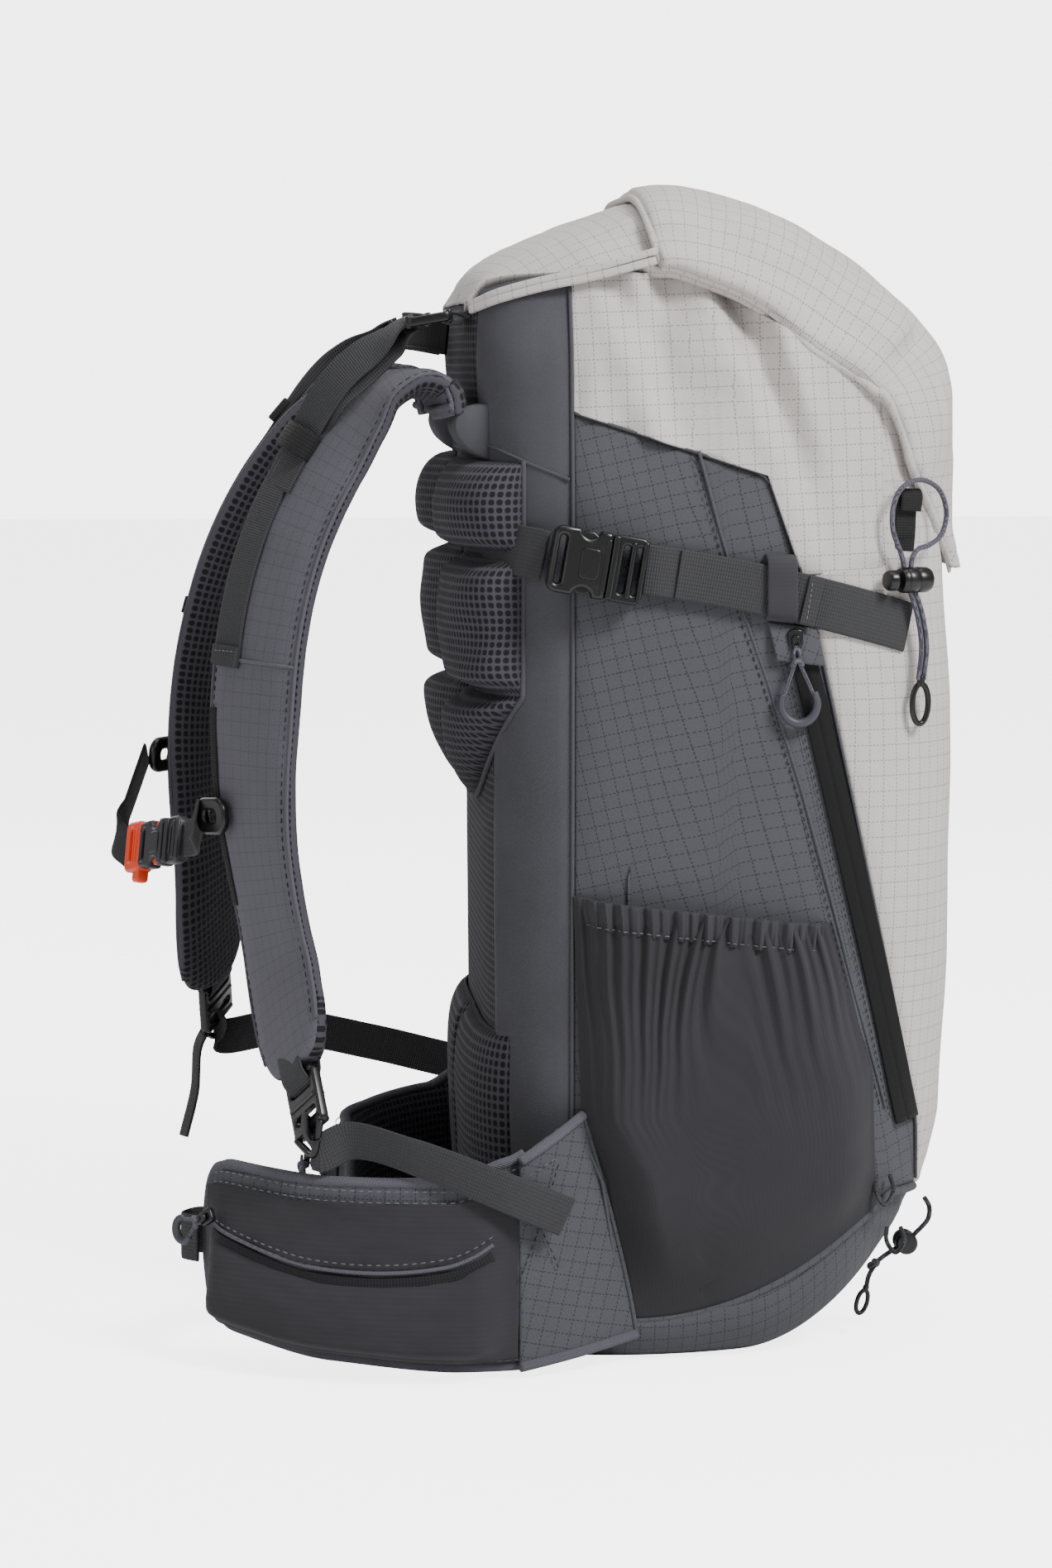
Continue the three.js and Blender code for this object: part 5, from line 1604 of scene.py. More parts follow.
def yoke_flap():
    """Padded wedge of cloth under the strap's root that joins it to the yoke of the bag."""
    profile = spline([(0, 101, 452), (0, 108, 455), (0, 116, 461), (0, 120, 470), (0, 117, 478), (0, 108,
        481), (0, 101, 480), (0, 98, 466), (0, 100, 454)])
    line = profile(np.linspace(0, 1, 44))[:, 1:]
    middle = np.array([104.0, 468.0])
    P = []
    for x, share in ((-117.5, 0.9), (-117, 0.96), (-114, 1.0), (-106, 1.0), (-90, 1.0), (-72, 1.0), (-60,
            0.97), (-56, 0.9), (-55, 0.7)):
        yz = middle + (line - middle) * share
        P.append(np.column_stack([np.full(len(line), x), yz]))
    P = np.array(P)
    P = P + (0.7 * ripple(P, 20, 64.0))[..., None] * np.array([0, 1, -0.5])
    return loft("yoke_flap_left", P, "bag", "plain", (), uv=length_uv(P))


both(yoke_flap())


# ---------------------------------------------------------------- hip belt
wing_line = spline([(-155, 71, 0), (-163, 100, 0), (-164, 130, 0), (-157, 165, 0), (-141, 200, 0), (-117, 230,
    0), (-97, 244, 0)], even=False)
wing_top = stations([[0, 122], [0.14, 108], [0.3, 98], [0.6, 97], [0.85, 100], [0.95, 96], [1, 84]])
wing_low = stations([[0, 6], [0.3, 6], [0.6, 10], [0.85, 18], [0.95, 24], [1, 36]])
wing_thick = stations([[0, 6], [0.12, 13], [0.9, 13], [1, 6]])


def wing_point(u, height, lift):
    u, height, lift = np.broadcast_arrays(*(np.asarray(q, float) for q in (u, height, lift)))
    t = unit(wing_line(np.clip(u + 0.004, 0, 1)) - wing_line(np.clip(u - 0.004, 0, 1)))
    out = unit(np.stack([-t[..., 1], t[..., 0], np.zeros_like(u)], -1))
    p = wing_line(u) + out * lift[..., None]
    p[..., 2] = mix(wing_low(u), wing_top(u), height)
    return p


def wing_body():
    rows, cols = 90, 48
    u = np.linspace(0, 1, rows)[:, None]
    a = np.linspace(0, math.tau, cols, endpoint=False)[None, :]
    height = 0.5 + 0.5 * spow(np.cos(a), 0.5)
    h = spow(np.sin(a), 0.5)
    u, height, h = np.broadcast_arrays(u, height, h)
    lift = h * wing_thick(u) / 2 * (1 - 0.4 * (2 * height - 1) ** 4)
    P = wing_point(u, height, lift)
    uv = np.stack([u * 212, P[..., 2]], -1) * MM
    which = lambda _, k: np.where(np.sin(k * math.tau) > -0.05, 0, 1)
    return loft("hip_wing_padding_left", P, "wing_left", ["dark", "mesh"], ["hip_wing_left"], uv=uv,
        index=which)


def zip_height(u):
    """Height of the pocket's zip on the wing: it sags between its ends."""
    return 0.63 - 0.17 * np.sin(np.clip((u - 0.12) / 0.8, 0, 1) * math.pi)


def wing_pocket():
    u, v = np.meshgrid(np.linspace(0, 1, 121), np.linspace(0, 1, 61))
    at = mix(0.13, 0.935, u)
    height = mix(0.045, 0.90, v)
    zip_at = zip_height(at)
    side = smooth(np.minimum(u, 1 - u), 0, 0.16)
    below = np.clip((zip_at - height) / (zip_at - 0.045), 0, 1)
    belly = 14.5 * np.sin(np.clip(below, 0, 1) ** 0.75 * math.pi * 0.5 + 0.0) ** 0.8 * (1 - smooth(below,
        0.80, 1.0) ** 1.5)
    belly = np.where(height <= zip_at, 6.5 + belly * 0.62,
        6.5 * (1 - smooth((height - zip_at) / (0.9 - zip_at), 0.1, 1.0)))
    groove = -1.5 * np.exp(-((height - zip_at) / 0.035) ** 2)
    P0 = wing_point(at, height, 7)
    wrinkle = (0.9 * ripple(P0 * (1, 1, 2.2), 30, 71.0) + 0.5 * ripple(P0 * (1, 1, 2.0), 12, 73.0)) * side
    P = wing_point(at, height, 7.0 + side * (belly + groove) + wrinkle)
    uv = np.stack([P0[..., 2], at * 212], -1) * MM
    return sheet("hip_pocket_cloth_left", P, "wing_left", "knit", 1.3, uv, ["hip_pocket_left"], (-1, 0, 0))


def pocket_surface(at, height_offset, extra):
    """A line on the pocket's outside, at a height measured from its zip."""
    zip_at = zip_height(at)
    height = zip_at + height_offset
    side = smooth(np.minimum((at - 0.13) / 0.805, 1 - (at - 0.13) / 0.805), 0, 0.16)
    return wing_point(at, height, 7.0 + side * 6.0 + extra)


wing_parts = [wing_body(), wing_pocket()]
zu = np.linspace(0.20, 0.885, 60)
wing_parts.append(tape("hip_zip_left", pocket_surface(zu, 0, 0.2)[::3], (0, 0, 1), 6.2, "wing_left",
    "zip_coil", 1.8, count=120))
for k, off in enumerate((0.062, -0.062)):
    lip = pocket_surface(zu, off, 0.9)
    wing_parts.append(tube("hip_zip_lip_%d_left" % k, lip[::3], 1.0, "wing_left", "binding", count=120,
        sides=8))
    row = pocket_surface(zu, off * 1.75, 1.9)
    wing_parts.append(stitches("hip_zip_stitches_%d_left" % k, spline(row[::3]), "wing_left", "thread", 2.6,
        1.9, 0.34))
rim_points = [wing_point(u, 1.0, 0.5) for u in np.linspace(0.10, 0.93, 26)]
rim_points += [wing_point(u, h, 0.5) for u, h in ((0.968, 0.96), (0.99, 0.82), (1.0, 0.5), (0.99, 0.18),
    (0.968, 0.04))]
rim_points += [wing_point(u, 0.0, 0.5) for u in np.linspace(0.93, 0.10, 26)]
wing_parts.append(tube("wing_binding_left", rim_points, 3.0, "wing_left", "binding", count=300))
for k, (h, lift) in enumerate(((0.965, 5.4), (0.905, 6.9))):
    row = wing_point(np.linspace(0.02, 0.95, 60), h, lift)
    wing_parts.append(stitches("wing_top_stitches_%d_left" % k, spline(row[::3]), "wing_left", "thread", 2.8,
        1.8, 0.36))
row = wing_point(np.linspace(0.02, 0.95, 60), 0.035, 5.6)
wing_parts.append(stitches("wing_low_stitches_left", spline(row[::3]), "wing_left", "thread", 2.8, 1.8, 0.36))
tip = [wing_point(0.985, 0.5, 8), wing_point(0.985, 0.5, 8) + (10, 8, 0), wing_point(0.985, 0.5, -2) + (18, 7,
    0), wing_point(0.96, 0.5, -9)]
wing_parts.append(tape("wing_tip_loop_left", tip, (0, 0, 1), 24, "wing_left", "web", 1.6, count=40))
cross_a = [wing_point(mix(0.015, 0.13, t), mix(0.88, 0.42, t), 8.2) for t in np.linspace(0, 1, 20)]
cross_b = [wing_point(mix(0.015, 0.13, t), mix(0.42, 0.88, t), 8.2) for t in np.linspace(0, 1, 20)]
for k, row in enumerate((cross_a, cross_b)):
    wing_parts.append(stitches("wing_cross_stitches_%d_left" % k, spline(row), "wing_left", "thread_dark",
        2.6, 1.6, 0.34))
for piece in wing_parts:
    name = piece.name
    if name == "wing_tip_loop_left":
        continue
    swap = {"hip_wing_padding_left": ["hip_wing_right"], "hip_pocket_cloth_left": ["hip_pocket_right"]}.get(
        name, ())
    both(piece, "wing_right", swap, fold)


def root_cover(side):
    """Ripstop that joins the belt's wing to the side of the bag and turns with the wing's root."""
    u, v = np.meshgrid(np.linspace(0, 1, 31), np.linspace(0, 1, 61))
    on_wing = wing_point(np.full_like(v, 0.125), v, 7.4)
    on_bag = on_side(mix(30.0, 57.0, v ** 1.2), mix(15.0, 128.0, v), 2.6)
    bow = 3.4 * np.sin(u * math.pi)[..., None] * np.array([-1, 0, 0])
    start, end = (-158, 52, 60), (-164, 92, 60)
    outward = (-1, 0, 0)
    if side == "right":
        flip = np.array([-1, 1, 1])
        on_wing, on_bag, bow = fold(on_wing * flip), on_bag * flip, bow * flip
        start, end, outward = (158, 52, 60), tuple(fold(np.array((164.0, 92.0, 60.0)))), (1, 0, 0)
    P = mix(on_wing, on_bag, u[..., None]) + bow + 0.7 * ripple(on_bag, 26, 83.0)[..., None] * np.array([1, 0,
        0])
    body = ("bag", "wing_" + side, start, end)
    cover = sheet("hip_root_cover_" + side, P, body, "dark", 1.8, turned(P[..., 1], P[..., 2], -14), (),
        outward)
    tube("hip_root_edge_" + side, P[::4, -1], 1.3, "bag", "dark", count=60, sides=8)
    tube("hip_root_binding_" + side, P[-1, ::3], 2.6, body, "binding", count=40, sides=10)
    tube("hip_root_binding_low_" + side, P[0, ::3], 2.6, body, "binding", count=40, sides=10)
    return cover


for side_name in ("left", "right"):
    root_cover(side_name)


def root_patch():
    """The triangular patch where the belt's root is sewn to the bag."""
    edges = {
        "left": side_path([[70, 20], [70, 120]]),
        "right": side_path([[35, 19], [47, 94], [60, 125]]),
        "bottom": side_path([[70, 19], [35, 19]]),
        "top": side_path([[70, 121], [60, 125]]),
    }
    lift = lambda u, v, P: 1.0 + 4.4 * smooth(1 - u, 0, 0.12) + 0.8 * ripple(P, 26, 81.0)
    return wall("hip_root_patch_left", edges, 24, 60, lift, "bag", "dark", 2.4, tilted_uv(28),
        ["hip_tab_left"])


root_patch()
tube("hip_root_seam_left", side_line([[60.5, 125], [47.5, 94], [36, 20]], 4.6), 1.0, "bag", "dark", count=80,
    sides=8)

# ---------------------------------------------------------------- moulded hardware
def notched(length, width, depth):
    """A socket's outline: rounded corners and a curved window in each side where the prongs show."""
    w = width / 2
    near, far = -length * 0.20, -length * 0.56
    bite = [(near + (far - near) * t, w - depth * math.sin(math.pi * t) ** 0.55) for t in np.linspace(0, 1,
        13)]
    corner = [(-length + 5 - 5 * math.sin(a), w - 5 + 5 * math.cos(a)) for a in np.linspace(0, math.pi / 2,
        7)]
    top = [(0.0, w - 1.2), (-1.2, w)] + bite + corner
    return top + [(x, -y) for x, y in reversed(top)]


def socket_parts(length, width, thick):
    slot = rounded(3.4, width - 9, 1.4, 4, (-length + 5.0, 0))
    face = plate(notched(length, width, 4.4), [slot], thick, 1.7)
    panel = plate(rounded(length * 0.34, width * 0.46, 2.6, 5, (-length * 0.33, 0)), [], 1.4, 0.6, thick / 2)
    under = plate(rounded(length * 0.34, width * 0.46, 2.6, 5, (-length * 0.33, 0)), [], 1.4, 0.6, -thick / 2)
    lip = plate(rounded(2.4, width * 0.8, 1.0, 3, (-1.6, 0)), [], thick + 1.0, 0.5)
    return [face, panel, under, lip]


def prong_outline(sign, width, reach):
    """One springy prong: a slim arm that ends in a rounded barb."""
    w = width / 2
    outer = [(1.0, w - 4.4), (-reach * 0.35, w - 3.4), (-reach * 0.55, w - 0.9), (-reach * 0.78, w - 1.1),
        (-reach, w - 4.0)]
    inner = [(-reach * 0.96, w - 7.0), (-reach * 0.6, w - 6.6), (1.0, w - 8.2)]
    pts = [(x, sign * y) for x, y in outer + inner]
    return pts if sign < 0 else pts[::-1]


def plug_parts(length, width, thick, reach):
    slots = [rounded(3.4, width - 9, 1.4, 4, (GAP + length * k + 2, 0)) for k in (0.3, 0.66)]
    body = plate(rounded(length, width, 4, 6, (GAP + length / 2, 0)), slots, thick * 0.66, 1.2)
    shoulder = plate(rounded(3.6, width - 1, 1.6, 4, (2.0, 0)), [], thick, 1.1)
    bar = plate(rounded(2.6, width - 5, 1.2, 4, (GAP + length * 0.48 + 2, 0)), [], thick * 0.8, 0.9)
    grip = plate(rounded(2.6, width - 3, 1.2, 4, (GAP + length - 1.6, 0)), [], thick * 0.85, 0.9)
    prongs = [plate(prong_outline(k, width, reach), [], thick - 5.0, 0.8) for k in (-1, 1)]
    guide = plate(rounded(reach * 0.7, 3.6, 1.2, 4, (-reach * 0.3, 0)), [], thick - 5.4, 0.7)
    return [body, shoulder, bar, grip, guide], prongs


def lock_parts(length, width, thick):
    slots = [rounded(4.4, width - 8, 1.8, 4, (length * k, 0)) for k in (-0.24, 0.22)]
    frame_ = plate(rounded(length, width, 4, 6), slots, thick, 1.2)
    bars = [plate(rounded(3.0, width - 2.5, 1.3, 4, (length * k, 0)), [], thick * 1.35, 1.0) for k in (-0.43,
        0.0, 0.43)]
    return [frame_, *bars]


# side compression: socket on the harness side, plug and webbing toward the front
SIDE_BUCKLE = basis((-159.5, 47, 402), (0, -0.985, -0.17), (-1, 0, 0))
side_socket = assembled("side_release_socket_left", socket_parts(29, 33, 12), SIDE_BUCKLE, "side_buckle_left",
    "black", ["side_buckle_left"])
both(side_socket, "side_buckle_right", ["side_buckle_right"])
frame_parts, prongs = plug_parts(18, 33, 12, 17)
side_plug = assembled("side_release_plug_left", frame_parts + prongs, SIDE_BUCKLE, "bag", "black",
    ["side_plug_left"])
both(side_plug, "bag", ["side_plug_right"])


def side_web_path(y0, y1, lift, z_off=0.0):
    y = np.linspace(y0, y1, 26)
    z = 400 - (26 - y) * 0.14 - (26 - y) ** 2 * 0.0007 + z_off
    rise = mix(7.2, lift, smooth((26 - y) / 129, 0, 0.2))
    return ring(left_angle(y, z), z, rise)


web = tape("side_webbing_tape_left", side_web_path(28, -104, 3.0), (0, 0.0, 1), 25, "bag", "web", 1.8,
    ["side_webbing_left"], count=150)
both(web, "bag", ["side_webbing_right"])
folded = side_web_path(12, -54, 5.6)
folded = tape("side_webbing_fold_left", folded, (0, 0.02, 1), 25, "bag", "web", 1.8, count=90)
both(folded)
fold_end = side_web_path(-50, -57, 7.4)
both(tape("side_webbing_hem_left", fold_end, (0, 0.02, 1), 25, "bag", "web", 1.8, count=14))
row = side_web_path(-52, -52.6, 8.4) + np.linspace(-10, 10, 26)[:, None] * np.array([0, -0.12, 0.99])
both(stitches("side_webbing_bar_tack_left", spline(row[::3]), "bag", "thread", 2.0, 0.7, 0.4))
loop = [ring(left_angle(-39, z), z, lift) for z, lift in zip((374.5, 377.5, 391, 404, 407), (1.2, 8.2, 8.8,
    8.2, 1.2))]
both(tape("side_webbing_keeper_left", loop, (0, 1, 0.1), 15, "bag", "elastic", 1.6, count=50))
anchor = [ring(left_angle(y, z), z, lift) for y, z, lift in ((103, 413, 0.8), (96, 411.5, 3.4), (86, 409.5,
    6.2), (78, 408, 8.0), (74, 407, 9.3))]
both(tape("side_buckle_anchor_left", anchor, (0, -0.17, 0.985), 25, "bag", "web", 1.8, count=50))

# top tension: a lock sewn to the yoke takes the webbing from each strap
lifter_at = basis((-92, 131.5, 523), (0, 0.985, -0.17), (0, 0.17, 0.985))
lifter_lock = assembled("lifter_lock_left", lock_parts(24, 28, 5), lifter_at, "bag", "black",
    ["lifter_buckle_left"])
both(lifter_lock, "bag", ["lifter_buckle_right"])
hold = [(-92, 111, 524), (-92, 117, 526.2), (-92, 123, 525.6), (-92, 126.4, 523.6), (-92, 122, 521.4), (-92,
    115, 520.5)]
both(tape("lifter_anchor_left", hold, (1, 0, 0), 20, "bag", "web", 1.6, count=40))
haul = [(-32, 118, 515), (-24, 129, 517), (0, 138, 518), (24, 129, 517), (32, 118, 515)]
tape("haul_loop_webbing", haul, (0, 0.12, 1), 18, "haul_loop", "web_black", 2.2, ["haul_loop"], count=90)
for k, z in enumerate((509.5, 526.5)):
    edge = [np.array(p) + (0, 0.9, z - 518) for p in haul]
    tube("haul_loop_edge_%d" % k, edge, 1.2, "haul_loop", "web_black", count=70, sides=8)

# foot of each shoulder strap
end_frame = strap_frame(0.985)
lock_from = strap_line(np.array(1.0))
ladder_at = basis(lock_from + end_frame[1] * 19, end_frame[1], end_frame[3])
ladder = assembled("strap_ladder_lock_left", lock_parts(32, 30, 5), ladder_at, "ladder_lock_left", "black",
    ["ladder_lock_left"])
both(ladder, "ladder_lock_right", ["ladder_lock_right"], swing)
grip_ring = [lock_from + end_frame[1] * a + end_frame[2] * b + end_frame[3] * 2.0 for a, b in ((34, -13), (41,
    -7), (47, 0), (41, 7), (34, 13))]
both(tube("strap_lock_grip_left", grip_ring, 1.9, "ladder_lock_left", "black", count=40), "ladder_lock_right",
    (), swing)
foot = [lock_from + end_frame[1] * a + end_frame[3] * b for a, b in ((-16, 5.2), (-4, 5.6), (6, 4.8), (11.3,
    0), (6, -4.6), (-6, -5.4))]
both(tape("strap_foot_webbing_left", foot, end_frame[2], 22, "strap_left", "web", 1.7, count=50),
    "strap_right", (), swing)
LOCK_END = lock_from + end_frame[1] * 46


def lower_webbing(side, points, across, start, end):
    body = ("bag", "strap_" + side, start, end)
    tape("lower_webbing_tape_" + side, points, across, 20, body, "web", 1.8, ["lower_webbing_" + side],
        count=120)


near_low = np.array([tuple(lock_from + end_frame[1] * 27), tuple(LOCK_END), (-153, 174, 118), (-170, 142,
    112), (-178, 102, 97), (-174, 68, 82)])
lower_webbing("left", near_low, (-0.1, 0.35, 1), (-175, 68, 84), (-152, 176, 120))
far_start = swing(np.array([lock_from + end_frame[1] * 27, LOCK_END])) * (-1, 1, 1)
far_low = np.vstack([far_start, [(158, 200, 128), (163, 150, 118), (163, 110, 108), (158, 73, 100)]])
lower_webbing("right", far_low, (0.1, 0.35, 1), (158, 73, 100), (157, 200, 130))
tail = near_low[:2].mean(0) + end_frame[3] * 3
tail_line = [tail, tail + (2, 6, -14), tail + (4, 5, -40), tail + (8, 8, -66)]
tape("adjusting_tail_right", swing(np.array(tail_line)) * (-1, 1, 1), (-0.95, -0.2, 0), 19, "strap_right",
    "web_black", 1.6, count=50)

# chest strap
s_from = np.array([-45.0, 247, 259])
s_dir = unit((0.867, 0.462, -0.185))
s_out = unit((-0.45, 0.85, 0.2))
meet = s_from + s_dir * 34
slide_frame = strap_frame(0.742)
slider_at = basis(on_strap(np.array(0.742), np.array(24.0), np.array(STRAP_THICK / 2 + 4.2)), slide_frame[2],
    slide_frame[3])
slider = assembled("sternum_slider_ring_left", [plate(rounded(26, 19, 8, 7), [rounded(11, 6, 2.9, 6)], 4.4,
    1.5)], slider_at, "sternum_slider_left", "black", ["sternum_slider_left"])
both(slider, "sternum_slider_right", ["sternum_slider_right"], swing)
near_web = [tuple(on_strap(np.array(0.742), np.array(31.0), np.array(STRAP_THICK / 2 + 11))), tuple(s_from),
    tuple(meet - s_dir * 19)]
sternum_tape = tape("sternum_webbing_tape_left", near_web, (0, -0.2, 1), 20, "sternum_slider_left", "web",
    1.8, ["sternum_webbing_left"], count=60)
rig.squash(sternum_tape, "sternum_release", (0.867, 0.4624, -0.185), tuple(np.array(near_web[0]) * MM), 0.62)
at_slider = swing(on_strap(np.array(0.742), np.array(31.0), np.array(STRAP_THICK / 2 + 11))) * (-1, 1, 1)
far_web = [tuple(meet + s_dir * 46), (44, 291, 250), (56, 286, 262), tuple(at_slider)]
tape("sternum_webbing_tape_right", far_web, (0.1, -0.2, 1), 20, "sternum_slider_right", "web_black", 1.8,
    ["sternum_webbing_right"], count=80)
chest = basis(meet, -s_dir, s_out)
frame_parts, prongs = plug_parts(15, 25, 9, 16)
assembled("sternum_plug_frame", frame_parts, chest, "sternum_plug", "grey", ["sternum_plug"])
assembled("sternum_plug_prongs", prongs, chest, "sternum_plug", "orange")
assembled("sternum_socket", socket_parts(28, 25, 9), chest, "sternum_slider_right", "grey",
    ["sternum_buckle"])
whistle_at = basis(meet + s_dir * 34, s_dir, s_out)
whistle_body = plate(rounded(17, 27, 4, 6), [rounded(4, 17, 1.6, 4, (2.6, -1))], 9.6, 1.6)
whistle_mouth = plate(rounded(7, 8, 2, 4, (-3, 15)), [], 7.0, 1.4)
whistle_ridge = [plate(rounded(1.2, 18, 0.5, 3, (x, 0)), [], 10.8, 0.4) for x in (-4.5, -1.8)]
assembled("whistle_body", [whistle_body, whistle_mouth, *whistle_ridge], whistle_at, "sternum_slider_right",
    "orange", ["whistle"])

# hip belt buckle
tip_at = wing_point(np.array(0.99), np.array(0.5), np.array(-11.5)) + unit((0.85, -0.5, 0)) * 64
hip_at = basis(tip_at, (0.85, -0.5, 0), (-0.5, -0.85, 0))
assembled("hip_socket", socket_parts(40, 38, 11), hip_at, "wing_left", "black", ["hip_buckle"])
hip_web = [wing_point(0.93, 0.5, -9), wing_point(0.985, 0.5, -9.5), tip_at - unit((0.85, -0.5, 0)) * 44,
    tip_at - unit((0.85, -0.5, 0)) * 36]
tape("hip_webbing_left", hip_web, (0, 0, 1), 36, "wing_left", "web", 2.0, count=60)


def zip_pull(name, at, along, outward, stem, length, width, body, replaces):
    """Metal slider, two cord strands, a knot and a U-shaped grip."""
    at = np.asarray(at, float)
    d = unit(along)
    out = unit(outward - d * np.dot(outward, d))
    side = np.cross(out, d)
    where = basis(at, d, out)
    body_parts = [plate(rounded(9, 7.5, 2, 4), [], 3.4, 0.8, 0.0), plate(rounded(6, 4, 1.4, 4, (1.5, 0)),
        [rounded(2.4, 1.8, 0.8, 3, (2.6, 0))], 1.6, 0.4, 2.8)]
    slider_ = assembled(name + "_slider", body_parts, where, body, "black", ())
    knot_at = stem * 0.5
    foot = stem * 0.5 + length
    lift = out * 2.3
    for k in (-1, 1):
        upper = [at + d * 3.5 + out * 2.8, at + d * (knot_at * 0.6) + side * k * 1.4 + lift,
            at + d * knot_at + side * k * 1.0 + lift]
        tube("%s_strand_%d" % (name, k > 0), upper, 0.95, body, "cord", count=24, sides=8)
        lower = [at + d * knot_at + side * k * 1.0 + lift, at + d * mix(knot_at, foot,
            0.3) + side * k * width * 0.26 + lift, at + d * mix(knot_at, foot,
            0.62) + side * k * width * 0.46 + lift]
        tube("%s_leg_%d" % (name, k > 0), lower, 0.95, body, "cord", count=24, sides=8)
    knot = [
        at + d * (knot_at + 1.2 * math.cos(t * 2.0)) + side * 2.3 * math.cos(t) + out * (2.2 + 1.5 * math.sin(t)) for t in np.linspace(0,
        5.4, 12)]
    tube(name + "_knot", knot, 1.4, body, "cord", count=60, sides=10)
    t = np.linspace(-1.0, 1.0, 25) * math.pi / 2
    bend = mix(knot_at, foot, 0.66)
    loop_pts = [
        at + d * (bend + (foot - bend) * math.cos(a)) + side * width / 2 * math.sin(a) + lift for a in t]
    loop_pts = [at + d * mix(knot_at, foot, 0.5) - side * width * 0.44 + lift, *loop_pts,
        at + d * mix(knot_at, foot, 0.5) + side * width * 0.44 + lift]
    loop_ = tube(name + "_grip", loop_pts, 2.3, body, "grip", replaces, count=90,
                 taper=lambda q: 0.72 + 0.28 * np.sin(np.clip(q, 0, 1) * math.pi))
    return slider_, loop_


def zip_set(stem_name, at, along, outward, stem, length, width, body_left, body_right, node, move=None):
    before = set(made)
    zip_pull(stem_name + "_left", at, along, outward, stem, length, width, body_left, [node + "_left"])
    for name in [n for n in list(made) if n not in before]:
        obj = made[name][0]
        twin(obj, name.replace("_left", "_right"), body_right,
            [node + "_right"] if name.endswith("_grip") else (), move)


zip_from = ring(left_angle(-46, 366), 366, 5.2)
zip_set("side_zip_puller", zip_from, (0.02, -0.06, -1), (-1, 0, 0), 24, 30, 18, "side_zip_pull_left",
    "side_zip_pull_right", "side_zip_pull")
hip_zip_at = wing_point(np.array(0.83), np.array(0.72), np.array(21.0))
hip_dir = unit(wing_line(np.array(0.87)) - wing_line(np.array(0.79))) + (0, 0, -0.55)
wing_out = unit(np.array([-hip_dir[1], hip_dir[0], 0.12]))
zip_set("hip_zip_puller", hip_zip_at, hip_dir, wing_out, 13, 16, 12, "hip_zip_pull_left",
    "hip_zip_pull_right", "hip_zip_pull", fold)

# front attachment point
tab_a = [ring(left_angle(-103, z), z, lift) for z, lift in ((408, 1.0), (416, 2.0), (426, 2.6), (434, 3.6),
    (438.5, 5.4), (436, 7.0), (428, 6.0))]
tape("front_tab_webbing", tab_a, (0.5, -0.85, 0), 13, "bag", "web_black", 1.7, ["front_tab"], count=60)
tab_row = [ring(left_angle(-103 + k, 415), 415, 3.4) for k in (-5, -2.5, 0, 2.5, 5)]
stitches("front_tab_stitches", spline(tab_row), "bag", "thread_dark", 1.6, 0.7, 0.35)
lock_along = unit((0.42, -0.9, 0))
lock_profile = [[-6, 3.6], [-5.8, 5.6], [-4.6, 6.3], [-3.4, 6.5], [-2.6, 6.1], [-1.8, 6.5], [2.6, 6.5], [3.4,
    6.1], [4.2, 6.5], [9.4, 6.4], [11.2, 5.7], [12, 4.2], [12, 2.0]]
button_profile = [[-13.5, 2.6], [-13.2, 4.4], [-12.2, 5.1], [-8.9, 5.2], [-8.6, 4.4], [-8.6, 3.0]]
lock_at = basis((-141, -105, 394), lock_along, (0, 0, 1))
cord_lock = assembled("cord_lock_barrel", [turned_rod(lock_profile)], lock_at, "cord_lock", "black",
    ["cord_lock"])
cord_button = assembled("cord_lock_plunger", [turned_rod(button_profile)], lock_at, "cord_lock_button",
    "black", ["cord_lock_button"])
base_profile = [[-7.5, 3.0], [-7.3, 4.8], [-6.2, 5.7], [-2.0, 6.0], [-1.4, 5.5], [1.4, 5.5], [2.0, 6.0], [6.2,
    5.7], [7.3, 4.8], [7.5, 3.0]]
base_lock_at = basis((-82, -115.5, 48.5), (1, 0, 0), (0, 0.58, 0.81))
base_lock = assembled("base_cord_lock_barrel", [turned_rod(base_profile)], base_lock_at, "base_cord_lock",
    "black", ["base_cord_lock"])

# small loops sewn into the base seam
for k, (y, z, drop) in enumerate(((-96, 92, 14), (-104, 62, 12))):
    a = ring(left_angle(y, z), z, 1.0)
    pts = [a + (0, -3.5, 0), a + (-5, -4.5, -drop * 0.5), a + (-5.5, 0, -drop), a + (-5, 4.5, -drop * 0.5),
        a + (0, 3.5, 0)]
    both(tube("base_seam_loop_%d_left" % k, pts, 1.2, "bag", "cord_black", count=40, sides=10))

# ---------------------------------------------------------------- the other side of the bag
TWINS = {
    "side_panel_cloth_left": ["side_panel_right"], "upper_panel_cloth_left": ["upper_panel_right"],
    "side_strip_cloth_left": ["side_strip_right"], "stretch_pocket_cloth_left": ["stretch_pocket_right"],
    "back_pad_mesh_left": ["back_pad_right"], "hip_root_patch_left": ["hip_tab_right"],
}
for name in list(made):
    obj, body = made[name]
    right = name.replace("_left", "_right")
    if name.endswith("_left") and body == "bag" and right not in made:
        twin(obj, right, "bag", TWINS.get(name, ()))

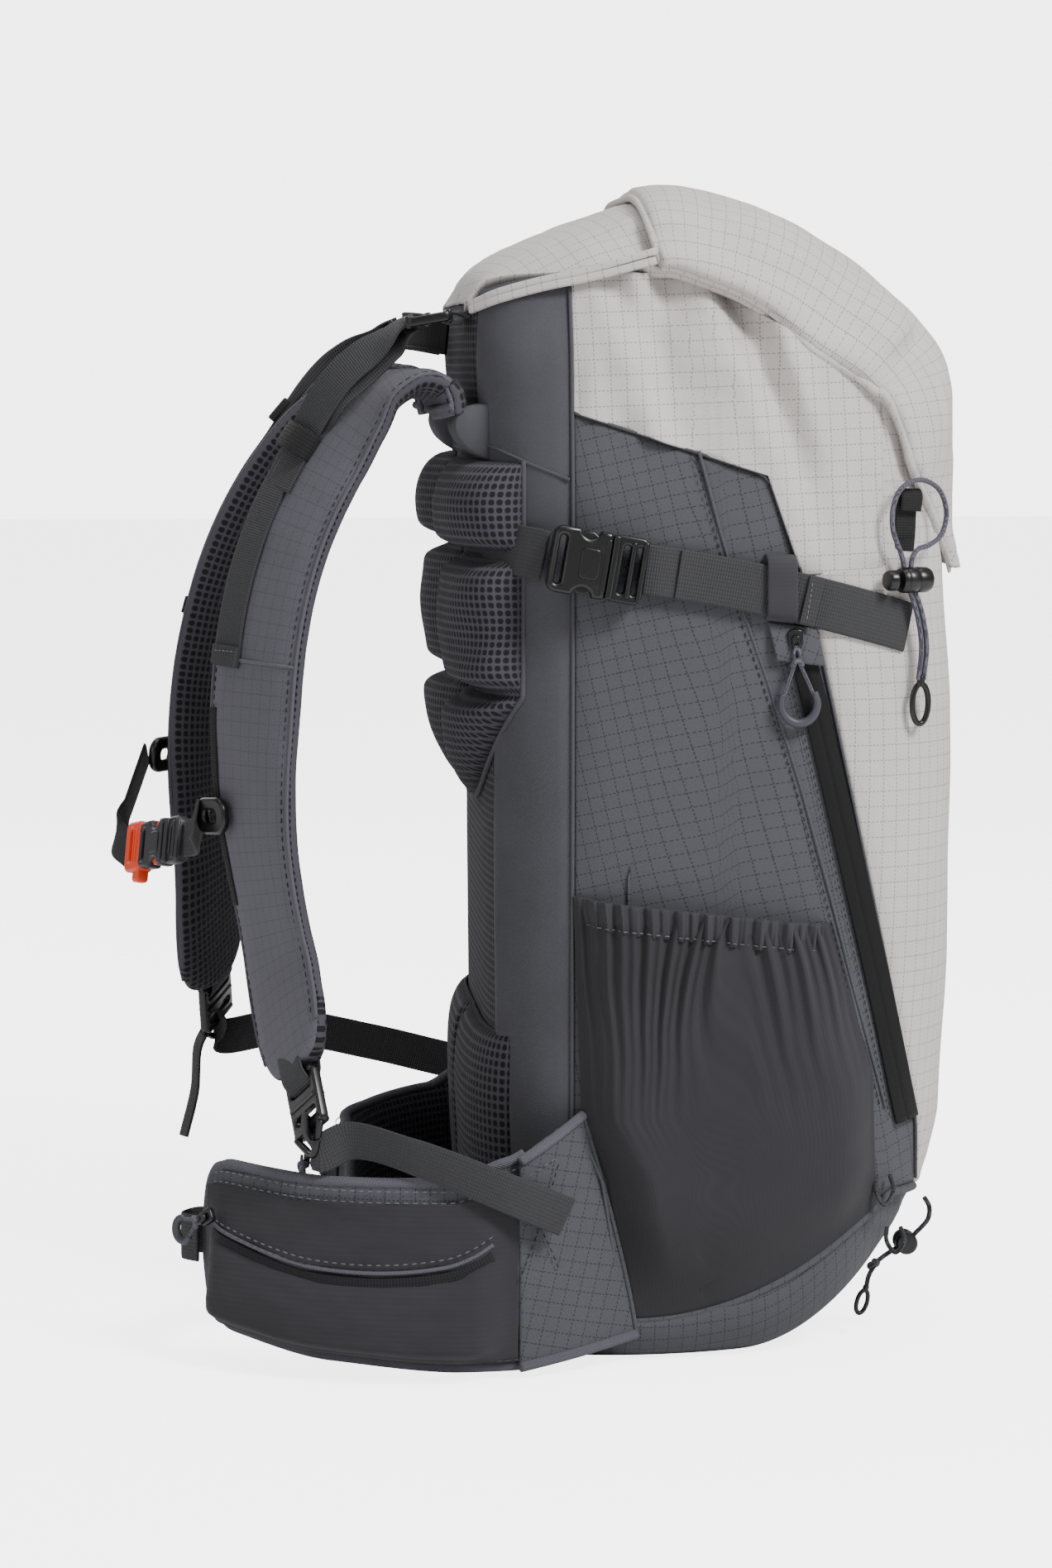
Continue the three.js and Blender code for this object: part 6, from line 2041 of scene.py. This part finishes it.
# ---------------------------------------------------------------- nodes kept as they are
KEPT = {
    "frame_sheet": "sheet", "frame_stay": "metal", "lid_hook": "metal", "hip_plug": "black",
}
for obj in bpy.data.objects:
    if obj.type == "MESH" and obj.name.split(".")[0] in KEPT:
        cloth = M[KEPT[obj.name.split(".")[0]]]
        for k in range(max(1, len(obj.material_slots))):
            if not obj.material_slots:
                break
            obj.material_slots[k].link = "OBJECT"
            obj.material_slots[k].material = cloth

# ---------------------------------------------------------------- record slots
SLOTS = {"light": "light_ripstop", "dark": "dark_ripstop", "plain": "plain_dark", "strap": "strap_cloth",
    "mesh": "mesh", "open_mesh": "mesh", "knit": "knit", "web": "webbing", "web_black": "webbing",
    "cord": "cord_sheath", "black": "black_plastic", "grey": "grey_plastic", "orange": "orange_plastic",}
by_material = {M[key].name: slot for key, slot in SLOTS.items()}
for obj in bpy.data.objects:
    if obj.type in ("MESH", "CURVE") and "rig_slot" not in obj and obj.data.materials and obj.data.materials[
            0]:
        slot = by_material.get(obj.data.materials[0].name)
        if slot and obj.name in made:
            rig.slot(obj, slot)
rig.slot(front_cord, "cord_sheath")
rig.slot(base_cord, "cord_sheath")

# ---------------------------------------------------------------- soft goods
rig.cord(front_cord, [c * MM for c in FRONT_CORD[0]], cord_length(FRONT_CORD), 0.0026, "fitting", "limp",
    "hanging", with_pieces=[cord_lock, cord_button, *front_end])
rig.cord(base_cord, [c * MM for c in BASE_CORD[0]], cord_length(BASE_CORD), 0.0026, "fitting", "limp",
    "hanging", with_pieces=[base_lock, lock_knot, *base_end])
for name in ("back_pad_mesh_left", "back_pad_mesh_right", "lumbar_pad_mesh"):
    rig.padded(made[name][0], 0.7)
for name in ("shoulder_strap_padding_left", "shoulder_strap_padding_right", "hip_wing_padding_left",
        "hip_wing_padding_right"):
    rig.padded(made[name][0], 0.8)
for side_name in ("left", "right"):
    # The flat size is the modelled cloth's own, rounded.
    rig.sheet(bpy.data.objects["stretch_pocket_cloth_" + side_name], flat=(0.17, 0.2), held="gathered",
        area=0.0313, rests_on=["side_panel_cloth_" + side_name])

with open("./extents.json", "w") as out:
    json.dump({"cad": [list(p) for p in CAD_BOX], "visual": [list(p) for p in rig.bounds()]}, out)
